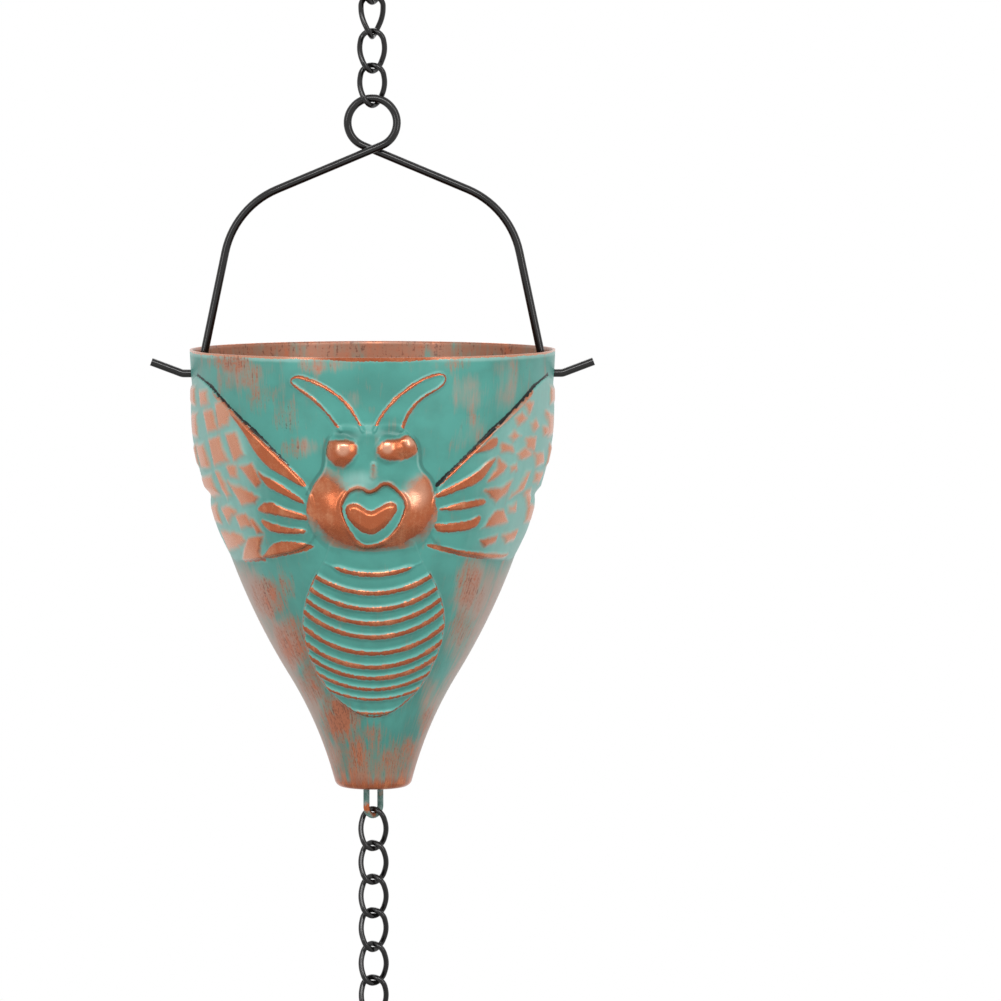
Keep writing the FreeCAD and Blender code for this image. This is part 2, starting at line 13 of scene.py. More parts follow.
import bpy
import numpy as np
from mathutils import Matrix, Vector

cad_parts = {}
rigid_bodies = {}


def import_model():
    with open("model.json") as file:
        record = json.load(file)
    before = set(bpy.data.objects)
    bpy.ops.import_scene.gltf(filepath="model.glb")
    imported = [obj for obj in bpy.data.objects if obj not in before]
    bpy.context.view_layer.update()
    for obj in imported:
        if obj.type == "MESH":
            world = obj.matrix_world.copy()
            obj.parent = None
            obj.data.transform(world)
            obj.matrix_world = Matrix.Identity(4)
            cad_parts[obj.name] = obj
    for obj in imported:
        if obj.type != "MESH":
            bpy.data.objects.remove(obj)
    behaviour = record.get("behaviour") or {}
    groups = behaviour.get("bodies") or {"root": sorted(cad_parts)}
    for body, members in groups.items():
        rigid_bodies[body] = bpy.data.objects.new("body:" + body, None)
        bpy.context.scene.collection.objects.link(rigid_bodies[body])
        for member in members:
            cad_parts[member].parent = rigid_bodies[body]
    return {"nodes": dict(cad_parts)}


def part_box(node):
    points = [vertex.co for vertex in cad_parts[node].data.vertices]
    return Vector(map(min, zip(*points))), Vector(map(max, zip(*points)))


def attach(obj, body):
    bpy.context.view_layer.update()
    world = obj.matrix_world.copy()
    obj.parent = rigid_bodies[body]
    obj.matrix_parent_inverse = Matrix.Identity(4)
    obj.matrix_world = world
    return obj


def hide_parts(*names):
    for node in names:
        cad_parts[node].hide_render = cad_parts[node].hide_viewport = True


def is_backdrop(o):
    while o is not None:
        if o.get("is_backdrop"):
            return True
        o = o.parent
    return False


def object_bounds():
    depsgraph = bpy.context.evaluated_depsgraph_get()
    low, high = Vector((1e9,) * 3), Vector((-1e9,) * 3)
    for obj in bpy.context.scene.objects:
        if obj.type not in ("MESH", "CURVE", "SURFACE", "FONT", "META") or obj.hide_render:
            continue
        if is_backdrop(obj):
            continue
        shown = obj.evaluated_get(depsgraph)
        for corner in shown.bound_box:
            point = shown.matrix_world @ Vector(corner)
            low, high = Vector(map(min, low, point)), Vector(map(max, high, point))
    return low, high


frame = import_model()
cad_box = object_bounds()

# %% [markdown]
# ## The camera
#
# The chain hangs in front of a plain studio background. A short lens would bend its straight
# lines, so a long one stands far away. It looks a little down, which shows the far rim of the cup,
# and a little to the right, so that the chain hangs left of the middle.

# %% Place the camera
CAMERA_PLACE = (-0.00016, -1.5, -0.0449)
LOOK_DOWN = 4.226
LOOK_RIGHT = 1.343
LENS = 197.19
SENSOR_WIDTH = 36

bpy.ops.object.camera_add(
    location=CAMERA_PLACE,
    rotation=(math.radians(90 - LOOK_DOWN), 0, math.radians(-LOOK_RIGHT)),
)
camera = bpy.context.object
camera.name = "camera"
camera.data.lens = LENS
camera.data.sensor_width = SENSOR_WIDTH
bpy.context.scene.camera = camera
print("camera lens", camera.data.lens, "mm")

# %% [markdown]
# ## The cup's wall
#
# The cup is spun from sheet: a full arc from the rim to the waist, then a hollow arc to the spout,
# whose edge is rolled in. Spinning a profile would give that wall, but the relief needs points
# where the bee is, so a function of the drop is kept instead and a grid is wrapped round it later.
# Lengths are in millimetres, and a drop is measured down from the rim.

# %% Write the wall as two arcs
RIM_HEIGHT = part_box("cup")[1].z * 1000
RIM_RADIUS = 50.0
RIM_LEAN = math.radians(2)
CUP_HEIGHT = 120.3
WAIST_RADIUS = 23.1
NECK_LENGTH = 31.0
SPOUT_RADIUS = 10.2

WAIST_DROP = CUP_HEIGHT - NECK_LENGTH


def arc_towards(start, end, direction):
    """Middle and radius of an arc whose middle lies in a direction from its start."""
    chord = end - start
    reach = chord @ chord / (2 * chord @ direction)
    return start + direction * reach, reach


rim_point = np.array([RIM_RADIUS, 0])
waist_point = np.array([WAIST_RADIUS, WAIST_DROP])
spout_point = np.array([SPOUT_RADIUS, CUP_HEIGHT])
inward = -np.array([math.cos(RIM_LEAN), math.sin(RIM_LEAN)])
belly_middle, belly_arc = arc_towards(rim_point, waist_point, inward)
outward = (waist_point - belly_middle) / belly_arc
neck_middle, neck_arc = arc_towards(waist_point, spout_point, outward)


def wall_radius(drop):
    """Radius of the cup's outside at a drop."""
    belly = np.sqrt(np.maximum(belly_arc ** 2 - (drop - belly_middle[1]) ** 2, 0))
    neck = np.sqrt(np.maximum(neck_arc ** 2 - (drop - neck_middle[1]) ** 2, 0))
    return np.where(drop < WAIST_DROP, belly_middle[0] + belly, neck_middle[0] - neck)


print("arcs of the wall:", belly_arc.round(1), "and", neck_arc.round(1), "mm")

# %% Roll the lip in under the spout
WALL = 0.7
LIP = 2.2
LIP_WIDTH = 3.0
OUTLET = SPOUT_RADIUS - LIP_WIDTH

LIP_DROP = CUP_HEIGHT - LIP
lip_rise = neck_middle[1] - LIP_DROP
lip_reach = math.sqrt((neck_arc + LIP) ** 2 - lip_rise ** 2)
lip_lean = math.atan2(lip_rise, lip_reach)


def lip_turn(radius, steps):
    """Stations where the wall turns in under the spout, as radius and drop."""
    turn = np.linspace(lip_lean, math.pi / 2, steps)
    return neck_middle[0] - lip_reach + radius * np.cos(turn), LIP_DROP + radius * np.sin(turn)


print("outlet:", round(2 * OUTLET, 1), "mm across")

# %% [markdown]
# ## Drawing on the wall
#
# The bee is pressed into the sheet, so its forms have soft edges. Sculpting them by hand would be
# slow to repeat. Here they are drawn as outlines and lines on the wall, and two measures do the
# rest: how far a point lies inside an outline, and how far it lies from a line. A soft step on
# such a distance makes a pressed edge. A soft step is kept as a pair: where it starts and ends.

# %% Blend values
SPOT_CORE = 0.1


def ease(low, high, value):
    """Soft step from 0 at low to 1 at high."""
    t = np.clip((value - low) / (high - low), 0, 1)
    return t * t * (3 - 2 * t)


def between(start, end, value):
    """1 from a soft start to a soft end, 0 before and after."""
    return ease(*start, value) * ease(*end, value)


def largest(*values):
    top = values[0]
    for value in values[1:]:
        top = np.maximum(top, value)
    return top


def smooth_top(first, second, blend):
    """The larger of two values, with a fillet where they meet."""
    near = np.maximum(blend - np.abs(first - second), 0) / blend
    return np.maximum(first, second) + near * near * blend / 4


def soft_spot(x, drop, side, middle, half_width, half_height):
    """1 in the core of a spot, falling softly to 0 at its edge."""
    away = np.hypot((x - side) / half_width, (drop - middle) / half_height)
    return ease(1, SPOT_CORE, away)


print("soft step half way:", ease(0, 1, 0.5))

# %% Measure outlines and lines
FAR = 1e9
TINY = 1e-12
OUTSIDE = -9.0


def rounded(points, closed=True, rounds=3):
    """Cut the corners of an outline or a line a few times, so that it bends smoothly."""
    points = np.array(points, float)
    for _ in range(rounds):
        ends = np.roll(points, -1, 0) if closed else points[1:]
        starts = points if closed else points[:-1]
        cut = np.stack([starts * 0.75 + ends * 0.25, starts * 0.25 + ends * 0.75], 1)
        cut = cut.reshape(-1, 2)
        points = cut if closed else np.vstack([points[:1], cut, points[-1:]])
    return points


def from_line(points, u, v):
    """Distance from an open line."""
    near = np.full(u.shape, FAR)
    for (u0, v0), (u1, v1) in zip(points[:-1], points[1:]):
        du, dv = u1 - u0, v1 - v0
        t = np.clip(((u - u0) * du + (v - v0) * dv) / (du * du + dv * dv + TINY), 0, 1)
        near = np.minimum(near, np.hypot(u - u0 - t * du, v - v0 - t * dv))
    return near


def within(points, u, v):
    """Distance inward from a closed outline, negative outside it."""
    points = np.array(points, float)
    loop = np.vstack([points, points[:1]])
    odd = np.zeros(u.shape, bool)
    for (u0, v0), (u1, v1) in zip(loop[:-1], loop[1:]):
        spans = (v0 > v) != (v1 > v)
        odd ^= spans & (u < u0 + (v - v0) * (u1 - u0) / (v1 - v0 + TINY))
    edge = from_line(loop, u, v)
    return np.where(odd, edge, -edge)


def within_any(outlines, u, v, rounds=2):
    depth = np.full(u.shape, OUTSIDE)
    for points in outlines:
        depth = np.maximum(depth, within(rounded(points, rounds=rounds), u, v))
    return depth


middle = np.ones(1)
print("depth in a square:", within([(0, 0), (2, 0), (2, 2), (0, 2)], middle, middle))

# %% [markdown]
# ## The wings
#
# Each wing is a low pad with small worn cells outside and five spokes that fan out from its root.
# The stamp isn't quite even, so the two wings have cells of their own. A point is an azimuth in
# degrees from the front and a drop.

# %% Draw the wings
WING = [
    (74, 6), (61, 9), (41, 20.2), (22, 34.3), (20, 42), (22, 51.4), (49, 55.5), (62, 56.4),
    (77, 57.4), (80, 50), (79, 43), (77, 38), (81, 31), (83, 20), (81, 10),
]
UPPER_EDGE = WING[:4]
LEFT_CELLS = [
    [(58, 13.5), (54, 12), (50, 15.5), (52, 19), (57, 20)], [(66, 16), (60, 15.5), (58.5, 20), (64, 21.5)],
    [(69, 10.5), (63, 10), (62, 13.3), (68, 14)], [(54, 21.5), (48.5, 20.5), (45.5, 26.8), (51.5, 28.5)],
    [(64, 23.5), (57.5, 22.5), (55, 28.5), (63, 30.5)], [(75, 25.5), (67.5, 24.5), (66.5, 31), (74, 32)],
    [(49.5, 30), (43, 28.8), (40, 34), (42.5, 35.8)], [(56, 30.5), (51, 30), (51.5, 33), (55, 33)],
    [(77, 34.5), (66, 33), (65, 38), (74, 39.8)], [(63.5, 32), (60.5, 32), (57, 38), (60, 39.8)],
    [(57, 34.5), (42, 38), (44.5, 40), (52, 41)], [(66, 42.5), (59, 40.8), (56.5, 42.8), (63.5, 46)],
    [(57, 44), (51, 43), (48.5, 46.3), (56, 47.6)], [(49.5, 44.5), (47, 44.5), (44, 47.8), (47, 48.3)],
    [(73, 48.5), (56, 48.8), (55, 51), (74, 55)],
    [(53, 49.8), (44.5, 49), (48.5, 53.8), (47, 55.8), (63, 56.8)],
]
RIGHT_CELLS = [
    [(55, 13), (60, 13.5), (58, 16.5)], [(50.5, 17), (54, 16), (57, 17.5), (53, 19.2)],
    [(59.5, 19), (62.5, 18), (65, 20), (62, 21.2)], [(67, 20), (72, 20), (74, 22.5), (69, 22.7)],
    [(48.5, 22), (51, 20.5), (55, 22), (51, 23.6)], [(45.5, 23.7), (51, 24.7), (52.5, 26.5), (46, 26)],
    [(53.5, 27), (58, 25.5), (62, 27.5), (57, 28.7)], [(57.5, 23), (63.5, 23), (63.5, 26), (59, 25.5)],
    [(64.5, 27.5), (70.5, 27), (73.5, 30.5), (66.5, 31)],
    [(44.5, 27.5), (50, 30), (48.5, 31.8), (41.5, 34), (45, 30.5)],
    [(51.5, 30.2), (54.5, 29.5), (55.5, 31.5), (52.5, 31.8)],
    [(41, 36.3), (48, 35.8), (54, 34), (51.5, 37.8), (47, 40.3)],
    [(60.5, 32), (63.8, 32), (61.5, 37.2), (54.5, 39.2), (58, 36.3)],
    [(67.5, 32.5), (75, 33), (72, 36), (67.5, 35)], [(62.5, 37.7), (66.5, 37), (71, 39.5), (69.5, 42.8)],
    [(54.5, 41.2), (59.5, 40.5), (60.5, 43), (55.5, 43.2)],
    [(42.5, 47), (47.5, 42), (52.5, 42.4), (57, 45.7), (47, 46.6)],
    [(43, 50), (52.5, 49), (52.5, 51), (46.5, 52.2)], [(55.5, 49.2), (66, 48.4), (65.5, 51), (59.5, 51.6)],
    [(68.5, 16), (72.5, 16), (76.5, 19.7), (71.5, 19.6)],
]
OUTER_CELLS = [
    [(72.5, 9.5), (79, 10), (79.5, 14), (73, 14.3)], [(71, 16.5), (78, 17), (78.5, 22.8), (71.5, 23)],
    [(76.5, 25.5), (80.5, 26), (79.5, 31), (76, 31.5)],
    [(69, 41.5), (76.5, 42), (76.5, 46.8), (69.5, 46.3)],
]
LEFT_SPOKES = [
    [(41.5, 30.6), (39, 31.8), (33, 33.6), (24, 38.3), (23.5, 39.9), (34, 36.4), (38.5, 34.9)],
    [(45, 41.6), (38, 38.6), (32, 41), (23, 42.3), (22.5, 44.2), (33, 43), (41, 42.4)],
    [(44, 44.2), (40, 44.6), (33, 46.1), (25, 46.2), (24.5, 47.7), (37, 47.9), (41.5, 46.9)],
    [(51, 55.8), (45.5, 54), (39, 50.2), (30, 49.7), (20.5, 51), (30, 53.2)],
    [(53, 13.8), (41, 20.3), (21.5, 34.4), (24, 35), (30, 32.2), (36.5, 29.8), (41, 26), (44.5, 21)],
]
RIGHT_SPOKES = [
    [(20.5, 37), (27, 34.6), (35, 31.6), (40, 28.5), (44.5, 27), (41, 31), (38.5, 33.9), (30, 36),
     (22.5, 38)],
    [(21.5, 41), (30, 39.5), (41, 38.4), (43, 40.1), (36, 41), (28, 41.5)],
    [(21.5, 44.7), (26, 45), (36, 44.5), (40, 43), (41.7, 44), (39.5, 46.9), (28, 47.5), (23.5, 47)],
    [(19.5, 50.5), (24, 50.7), (38, 53.1), (58, 54.4), (67, 54.7), (61, 56.2), (41, 55), (24, 52)],
    [(33, 26.8), (39, 22.7), (43.5, 21.5), (43.5, 24.7), (39, 25.8), (36, 25.9)],
]
print("cells on each wing:", len(LEFT_CELLS), len(RIGHT_CELLS), "spokes:", len(LEFT_SPOKES))

# %% [markdown]
# ## Raising the wings
#
# Cells and spokes stand on the pad. A ledge follows its upper edge, and the black line beside it is
# painted shadow at that raised edge. The outer part swells in two lobes, which show in the cup's
# outline. Towards the sides the colours fade: partly dust that stayed, partly a painted sheen where
# light fell flat. Where the two wings differ, each has its own values: how far cells spread, where
# the painted shadow line starts and where fading does.

# %% Raise the wings
DEGREE = 0.8
WING_STEP = (-0.35, 0.4)
WING_RISE = 0.62
CELL_STEP = (-0.9, 1.1)
SPOKE_STEP = (-0.5, 0.5)
CELL_RISE = 0.58
CELL_BLUR = 0.75
LEDGE_HALF = 0.42
LEDGE_PLACE = 0.3
LEDGE_STEP = (-0.4, 0.3)
LEDGE_END = (58, 64)
LEDGE_MARGIN = 0.2
# The black line beside the wing's raised upper edge is painted shadow.
LINE_HALF = 0.36
LINE_PLACE = 0.24
LINE_END = (72, 77)
LINE_MARGIN = 0.05
END_DEPTH = 1.5
LOBE_BULGE = 1.4
LOBE_SIDE = (48, 76)
UPPER_LOBE = [(6, 26), (39.5, 36.5)]
LOWER_LOBE = [(37.5, 42), (57, 47)]
LOWER_LOBE_SHARE = 0.6
# Fading towards the sides is partly dust and partly a painted sheen where light falls flat.
SHEEN_AND_DUST_FADING = 0.75
FADE_LEAN = 0.3
FADE_MIDDLE = 40
FADE_SPAN = (-10, 12)
SPOKE_TINT_STEP = (0, 0.4)
LEFT_WING = {
    "cells": LEFT_CELLS, "spokes": LEFT_SPOKES, "spread": 0.08,
    "shadow_start": (30, 24), "fade": (30, 56), "spoke_tint": 0.85,
}
RIGHT_WING = {
    "cells": RIGHT_CELLS, "spokes": RIGHT_SPOKES, "spread": 0.03,
    "shadow_start": (22, 19), "fade": (27, 57), "spoke_tint": 0.45,
}


def flat(points):
    """An outline in millimetres, with the wall unrolled."""
    return [(azimuth * DEGREE, drop) for azimuth, drop in points]


def one_wing(away, drop, wing):
    """Height, depth in bare copper, depth in the painted shadow line, and how full the colour is."""
    u = away * DEGREE
    inner = within(rounded(flat(WING), rounds=2), u, drop)
    cells = [flat(cell) for cell in wing["cells"] + OUTER_CELLS]
    cells = within_any(cells, u, drop, 0) + wing["spread"]
    spokes = within_any([flat(spoke) for spoke in wing["spokes"]], u, drop)
    from_edge = from_line(flat(UPPER_EDGE), u, drop)

    pad = ease(*WING_STEP, inner)
    ledge = LEDGE_HALF - np.abs(from_edge - LEDGE_PLACE) - END_DEPTH * ease(*LEDGE_END, away)
    raised = largest(ease(*CELL_STEP, cells), ease(*SPOKE_STEP, spokes), ease(*LEDGE_STEP, ledge))
    lobes = between(*UPPER_LOBE, drop) + LOWER_LOBE_SHARE * between(*LOWER_LOBE, drop)
    height = pad * (WING_RISE + CELL_RISE * raised + LOBE_BULGE * lobes * ease(*LOBE_SIDE, away))

    copper = largest(CELL_BLUR * cells, spokes, np.where(inner > -LEDGE_MARGIN, ledge, OUTSIDE))
    # The black line is painted shadow just outside the pad's raised upper edge.
    line_end = END_DEPTH * ease(*LINE_END, away) + ease(*wing["shadow_start"], away)
    line = LINE_HALF - np.abs(from_edge - LINE_PLACE) - line_end
    line = np.where(inner < LINE_MARGIN, line, OUTSIDE)
    # Paler towards the sides: dust, and a painted sheen where light falls flat.
    towards_side = away + FADE_LEAN * np.clip(FADE_MIDDLE - drop, *FADE_SPAN)
    tint = 1 - SHEEN_AND_DUST_FADING * ease(*wing["fade"], towards_side) * pad
    tint = np.maximum(tint, wing["spoke_tint"] * ease(*SPOKE_TINT_STEP, spokes))
    return height, copper, line, tint


def wing_relief(azimuth, drop):
    both = np.empty((4, len(drop)))
    for half, wing in ((azimuth < 0, LEFT_WING), (azimuth >= 0, RIGHT_WING)):
        both[:, half] = one_wing(np.abs(azimuth[half]), drop[half], wing)
    return both


wing_height = wing_relief(np.array([-60.0, 60.0]), np.array([30.0, 30.0]))[0]
print("height of the wings:", wing_height.round(2), "mm")

# %% [markdown]
# ## Antennae and body
#
# Both antennae are low bands with a thin raised border, and eleven ridges cross the body in
# shallow bows. A texture could only paint them, and they would vanish from the side, so they are
# heights too. A point is now a width from the middle and a drop, as seen from the front.

# %% Draw the antennae
ANTENNAE = [
    [(-2.6, 19.4), (-6.1, 12.7), (-11.3, 8.5), (-16.4, 6), (-20.3, 5), (-21.9, 6.4),
     (-20.3, 8), (-16.4, 10.5), (-12.6, 14), (-8.6, 19.4)],
    [(0.4, 19.4), (2.2, 15.2), (6.7, 10.1), (12.5, 6), (18, 4.1), (19.6, 5.8),
     (17.7, 8.3), (13.1, 10.5), (9.3, 14.6), (7.6, 19.4)],
]
BAND_STEP = (-0.3, 0.3)
BAND_RISE = 0.35
BAND_FADE = (19.5, 14.5)
BORDER_STEP = (0.8, 0.1)
BORDER_RISE = 0.45
BORDER_HALF = 0.42


def antenna_relief(x, drop):
    height = np.zeros(x.shape)
    copper = np.full(x.shape, OUTSIDE)
    for points in ANTENNAE:
        line = rounded(points, False)
        band = ease(*BAND_STEP, within(line, x, drop)) * ease(*BAND_FADE, drop)
        border = from_line(line, x, drop)
        height = np.maximum(height, BAND_RISE * band + BORDER_RISE * ease(*BORDER_STEP, border))
        copper = np.maximum(copper, BORDER_HALF - border)
    return height, copper


print("antennae:", len(ANTENNAE))

# %% Draw the body
BODY = [
    (-10.5, 47), (-12.6, 54.5), (-15.8, 60), (-18.4, 68), (-18.7, 75), (-16.8, 83), (-12.8, 91),
    (-6.8, 97), (0, 99.9), (6.8, 97), (12.8, 91), (16.8, 83), (19, 75), (18.8, 68), (16, 60),
    (12.6, 54.5), (10.5, 47),
]
BODY_STEP = (-0.4, 0.5)
BODY_RISE = 0.45
STRIPES = [58.6, 63.8, 68.3, 72.3, 76.2, 80.8, 84.8, 88, 91.2, 94.1, 98.2]
STRIPE_BOW = 27.4
STRIPE_HALF = 0.62
STRIPE_STEP = (-0.9, 0.5)
STRIPE_RISE = 0.9
STRIPE_MARGIN = 0.2
FIRST_STRIPE_END = (8.5, 11.5)
THINNER = 0.3
THINNER_BELOW = (86, 97)
OUTLINE_HALF = 0.22
OUTLINE_STEP = (-0.4, 0.2)
OUTLINE_RISE = 0.2
OUTLINE_ABOVE = (60, 56)
OUTLINE_DEPTH = 2


def body_relief(x, drop):
    inner = within(rounded(BODY), x, drop)
    stripe = np.full(x.shape, OUTSIDE)
    for lowest in STRIPES:
        away = np.abs(np.hypot(x, drop - lowest + STRIPE_BOW) - STRIPE_BOW)
        away = np.where(drop > lowest - STRIPE_BOW, away, -OUTSIDE)
        if lowest == STRIPES[0]:
            away = away + ease(*FIRST_STRIPE_END, np.abs(x))
        half = STRIPE_HALF - THINNER * ease(*THINNER_BELOW, lowest)
        stripe = np.maximum(stripe, half - away)
    stripe = np.minimum(stripe, inner + STRIPE_MARGIN)
    outline = OUTLINE_HALF - np.abs(inner) - OUTLINE_DEPTH * ease(*OUTLINE_ABOVE, drop)
    height = ease(*BODY_STEP, inner) * (BODY_RISE + STRIPE_RISE * ease(*STRIPE_STEP, stripe))
    return height + OUTLINE_RISE * ease(*OUTLINE_STEP, outline), np.maximum(stripe, outline)


print("ridges on the body:", len(STRIPES))

# %% [markdown]
# ## The face
#
# The face stands furthest out. The head is a low pillow with a rounded edge, and its cheeks and
# brow are domes over the solid's ellipsoids. All blend where they meet, because sheet can't fold
# sharply. Eyes, a heart-shaped mouth and a groove round the mouth come on top of them. A dome has a
# width from the middle, a drop, two half sizes and a height.

# %% Draw the face
CHEEKS = (0.0, 40.0, 17.9, 12.6, 2.9)
BROW = (0.0, 26.6, 12.9, 9.6, 1.7)
HEAD = [
    (-8.6, 17), (-11.3, 20.7), (-12.6, 24), (-12.8, 30), (-15.2, 32.9), (-17.3, 36.9), (-18.1, 40.8),
    (-17.2, 45.5), (-14, 50.7), (-8, 54), (8, 54), (13.2, 51.4), (15.8, 46.8), (16.9, 42), (16.7, 36.9),
    (15.7, 32.9), (12.3, 29.5), (12.3, 25), (11.5, 22), (8.6, 19.6), (7.4, 17),
]
EYES = [
    [(-13, 22.6), (-13, 25.4), (-9, 29.8), (-4.2, 26.4), (-4.2, 22.5), (-8.4, 21.9)],
    [(0.8, 24.6), (3, 27.3), (8.8, 27.1), (12.2, 25), (11.8, 22), (9.2, 20.4), (6.7, 21.9), (3, 21.8)],
]
EYEBALLS = [(-8.4, 25.0, 5.0, 2.3), (4.2, 24.5, 4.2, 1.9), (9.6, 23.3, 4.0, 1.2)]
BROW_DENTS = [(-7.2, 20.7), (5.0, 20.1)]
NOSE = [(0.1, 28.6), (0, 31.5)]
GROOVE = [
    (-0.6, 36.4), (-3.3, 34.2), (-6.9, 35.5), (-9.3, 40.0), (-7.6, 44.8), (-4.2, 50.4),
    (-0.3, 51.1), (5.2, 48.4), (8.6, 42.7), (9.3, 38.4), (6.5, 35.2), (3.2, 32.8),
]
MOUTH = [
    (-0.6, 40.9), (-2.6, 39.5), (-4.8, 38.4), (-7.3, 39.1), (-7.8, 41.2), (-6.4, 44.1), (-3.3, 46.8),
    (-0.3, 47.9), (2.8, 46.1), (5.1, 43.4), (6.9, 40.8), (6.5, 38.5), (3.9, 38.3), (1.4, 39.6),
]
MOUTH_INSET = 0.2
EYE_SPREAD = 0.15
NOSE_HALF = 0.75
GROOVE_RIM_HALF = 0.65
GROOVE_RIM_PLACE = 0.05


def face_lines(x, drop):
    """Depth inside each drawn part of the face."""
    groove = within(rounded(GROOVE), x, drop)
    return {
        "head": within(rounded(HEAD, rounds=2), x, drop),
        "groove": groove,
        "rim": GROOVE_RIM_HALF - np.abs(groove - GROOVE_RIM_PLACE),
        "mouth": within(rounded(MOUTH, rounds=2), x, drop) - MOUTH_INSET,
        "nose": NOSE_HALF - from_line(NOSE, x, drop),
        "eyes": within_any(EYES, x, drop, 1) + EYE_SPREAD,
        "chin": np.hypot(x / CHEEKS[2], (drop - CHEEKS[1]) / CHEEKS[3]),
    }


print("eyes:", len(EYES), "outline points of the mouth:", len(MOUTH))

# %% Raise the face
DOME_ROOT = 4.0
DOME_BLUNTNESS = 1.7
DOME_BLEND = 7.0
HEAD_RISE = 1.6
HEAD_ROUNDING = 4.0
HEAD_SPAN = [(16.5, 21), (54, 46)]
HEAD_BLEND = 1.5
FACE_STEP = (0.1, 0.6)
RIM_STEP = (-0.6, 0.6)
RIM_RISE = 0.35
GROOVE_STEP = (0, 1.1)
GROOVE_DEPTH = 0.7
MOUTH_STEP = (-0.5, 1.7)
MOUTH_RISE = 1.0
NOSE_STEP = (-0.7, 0.6)
NOSE_RISE = 0.4
EYE_STEP = (-0.8, 0.8)
EYE_RISE = 0.15
EYEBALL_BLUNTNESS = 1.5
DENT_SIZE = (5.2, 2.5)
DENT_DEPTH = 1.0


def swelling(x, drop, dome):
    """How far a blunt dome stands out from the chain's line. It keeps falling outside its outline."""
    side, middle, half_width, half_height, relief = dome
    square = ((x - side) / half_width) ** 2 + ((drop - middle) / half_height) ** 2
    start = math.sqrt(float(wall_radius(middle)) ** 2 - side ** 2) - DOME_ROOT
    return start + (relief + DOME_ROOT) * (1 - square ** DOME_BLUNTNESS)


def face_form(x, y, drop, lines):
    """Distance of the face from the chain's line, and its share at each point."""
    skull = smooth_top(swelling(x, drop, CHEEKS), swelling(x, drop, BROW), DOME_BLEND)
    steep = 1 - np.clip(lines["head"] / HEAD_ROUNDING, 0, 1)
    pillow = HEAD_RISE * np.sqrt(1 - steep ** 2) * between(*HEAD_SPAN, drop)
    front = smooth_top(skull, y + pillow, HEAD_BLEND)
    share = ease(*FACE_STEP, front - y)
    rise = RIM_RISE * ease(*RIM_STEP, lines["rim"]) - GROOVE_DEPTH * ease(*GROOVE_STEP, lines["groove"])
    rise = rise + MOUTH_RISE * ease(*MOUTH_STEP, lines["mouth"])
    rise = rise + NOSE_RISE * ease(*NOSE_STEP, lines["nose"])
    rise = rise + EYE_RISE * ease(*EYE_STEP, lines["eyes"])
    for side, middle, radius, ball in EYEBALLS:
        away = np.hypot(x - side, drop - middle) / radius
        rise = rise + ball * np.maximum(1 - away ** 2, 0) ** EYEBALL_BLUNTNESS
    for side, middle in BROW_DENTS:
        rise = rise - DENT_DEPTH * soft_spot(x, drop, side, middle, *DENT_SIZE)
    return front + share * rise, share


print("the cheeks stand out", round(swelling(0.0, CHEEKS[1], CHEEKS), 1), "mm from the chain")

# %% [markdown]
# ## Copper on the face
#
# Eyes, mouth and nose are rubbed bare up to their edges. On the cheeks the copper runs out softly:
# upwards into the paint round the nose, and downwards under the chin.

# %% Bare the face
CHEEK_TOP = 36.8
CHEEK_TOP_RISE = 6.2
CHEEK_TOP_SIDES = (4, 15)
LEFT_CHEEK_RISE = 1.0
LEFT_CHEEK = (0, -8)
CHEEK_BLUR = 0.3
CHIN_BLUR = 4.5
CHIN_EDGE = 0.97
CHEEK_LOWEST = 42
CHEEK_INSET = 0.1
NOSE_BLUR = 0.5
NOSE_INSET = 0.25
SOFT_CHEEK = [(28, 30), (41, 37)]
SOFT_CHIN = (0.85, 0.92)
SOFT_CHIN_BELOW = (40, 44)
SOFT_EYE = (-1.2, -0.2)
SOFT_EYE_SHARE = 0.4
CRISP_STEP = (0.6, -0.6)


def face_copper(x, drop, lines):
    """Depth inside the bare copper of the face."""
    top = CHEEK_TOP - CHEEK_TOP_RISE * ease(*CHEEK_TOP_SIDES, np.abs(x))
    top = top - LEFT_CHEEK_RISE * ease(*LEFT_CHEEK, x)
    upper_side = np.where(drop < CHEEK_LOWEST, lines["head"] - CHEEK_INSET, OUTSIDE)
    cheeks = np.maximum(CHIN_BLUR * (CHIN_EDGE - lines["chin"]), upper_side)
    cheeks = np.minimum(CHEEK_BLUR * (drop - top), cheeks)
    cheeks = np.minimum(cheeks, CHEEK_INSET - lines["groove"])
    nose = NOSE_BLUR * lines["nose"] - NOSE_INSET
    return largest(lines["rim"], lines["mouth"], lines["eyes"], cheeks, nose)


def face_softness(drop, lines, share):
    """How soft the edge of that copper is."""
    chin = ease(*SOFT_CHIN, lines["chin"]) * ease(*SOFT_CHIN_BELOW, drop)
    soft = largest(between(*SOFT_CHEEK, drop), chin, SOFT_EYE_SHARE * ease(*SOFT_EYE, lines["eyes"]))
    return soft * share * ease(*CRISP_STEP, np.maximum(lines["rim"], lines["mouth"]))


def face_relief(x, y, drop):
    lines = face_lines(x, drop)
    front, share = face_form(x, y, drop, lines)
    return {
        "front": front, "share": share, "head": lines["head"],
        "copper": face_copper(x, drop, lines), "soft": face_softness(drop, lines, share),
    }


print("copper of the cheeks starts", CHEEK_TOP, "mm below the rim")
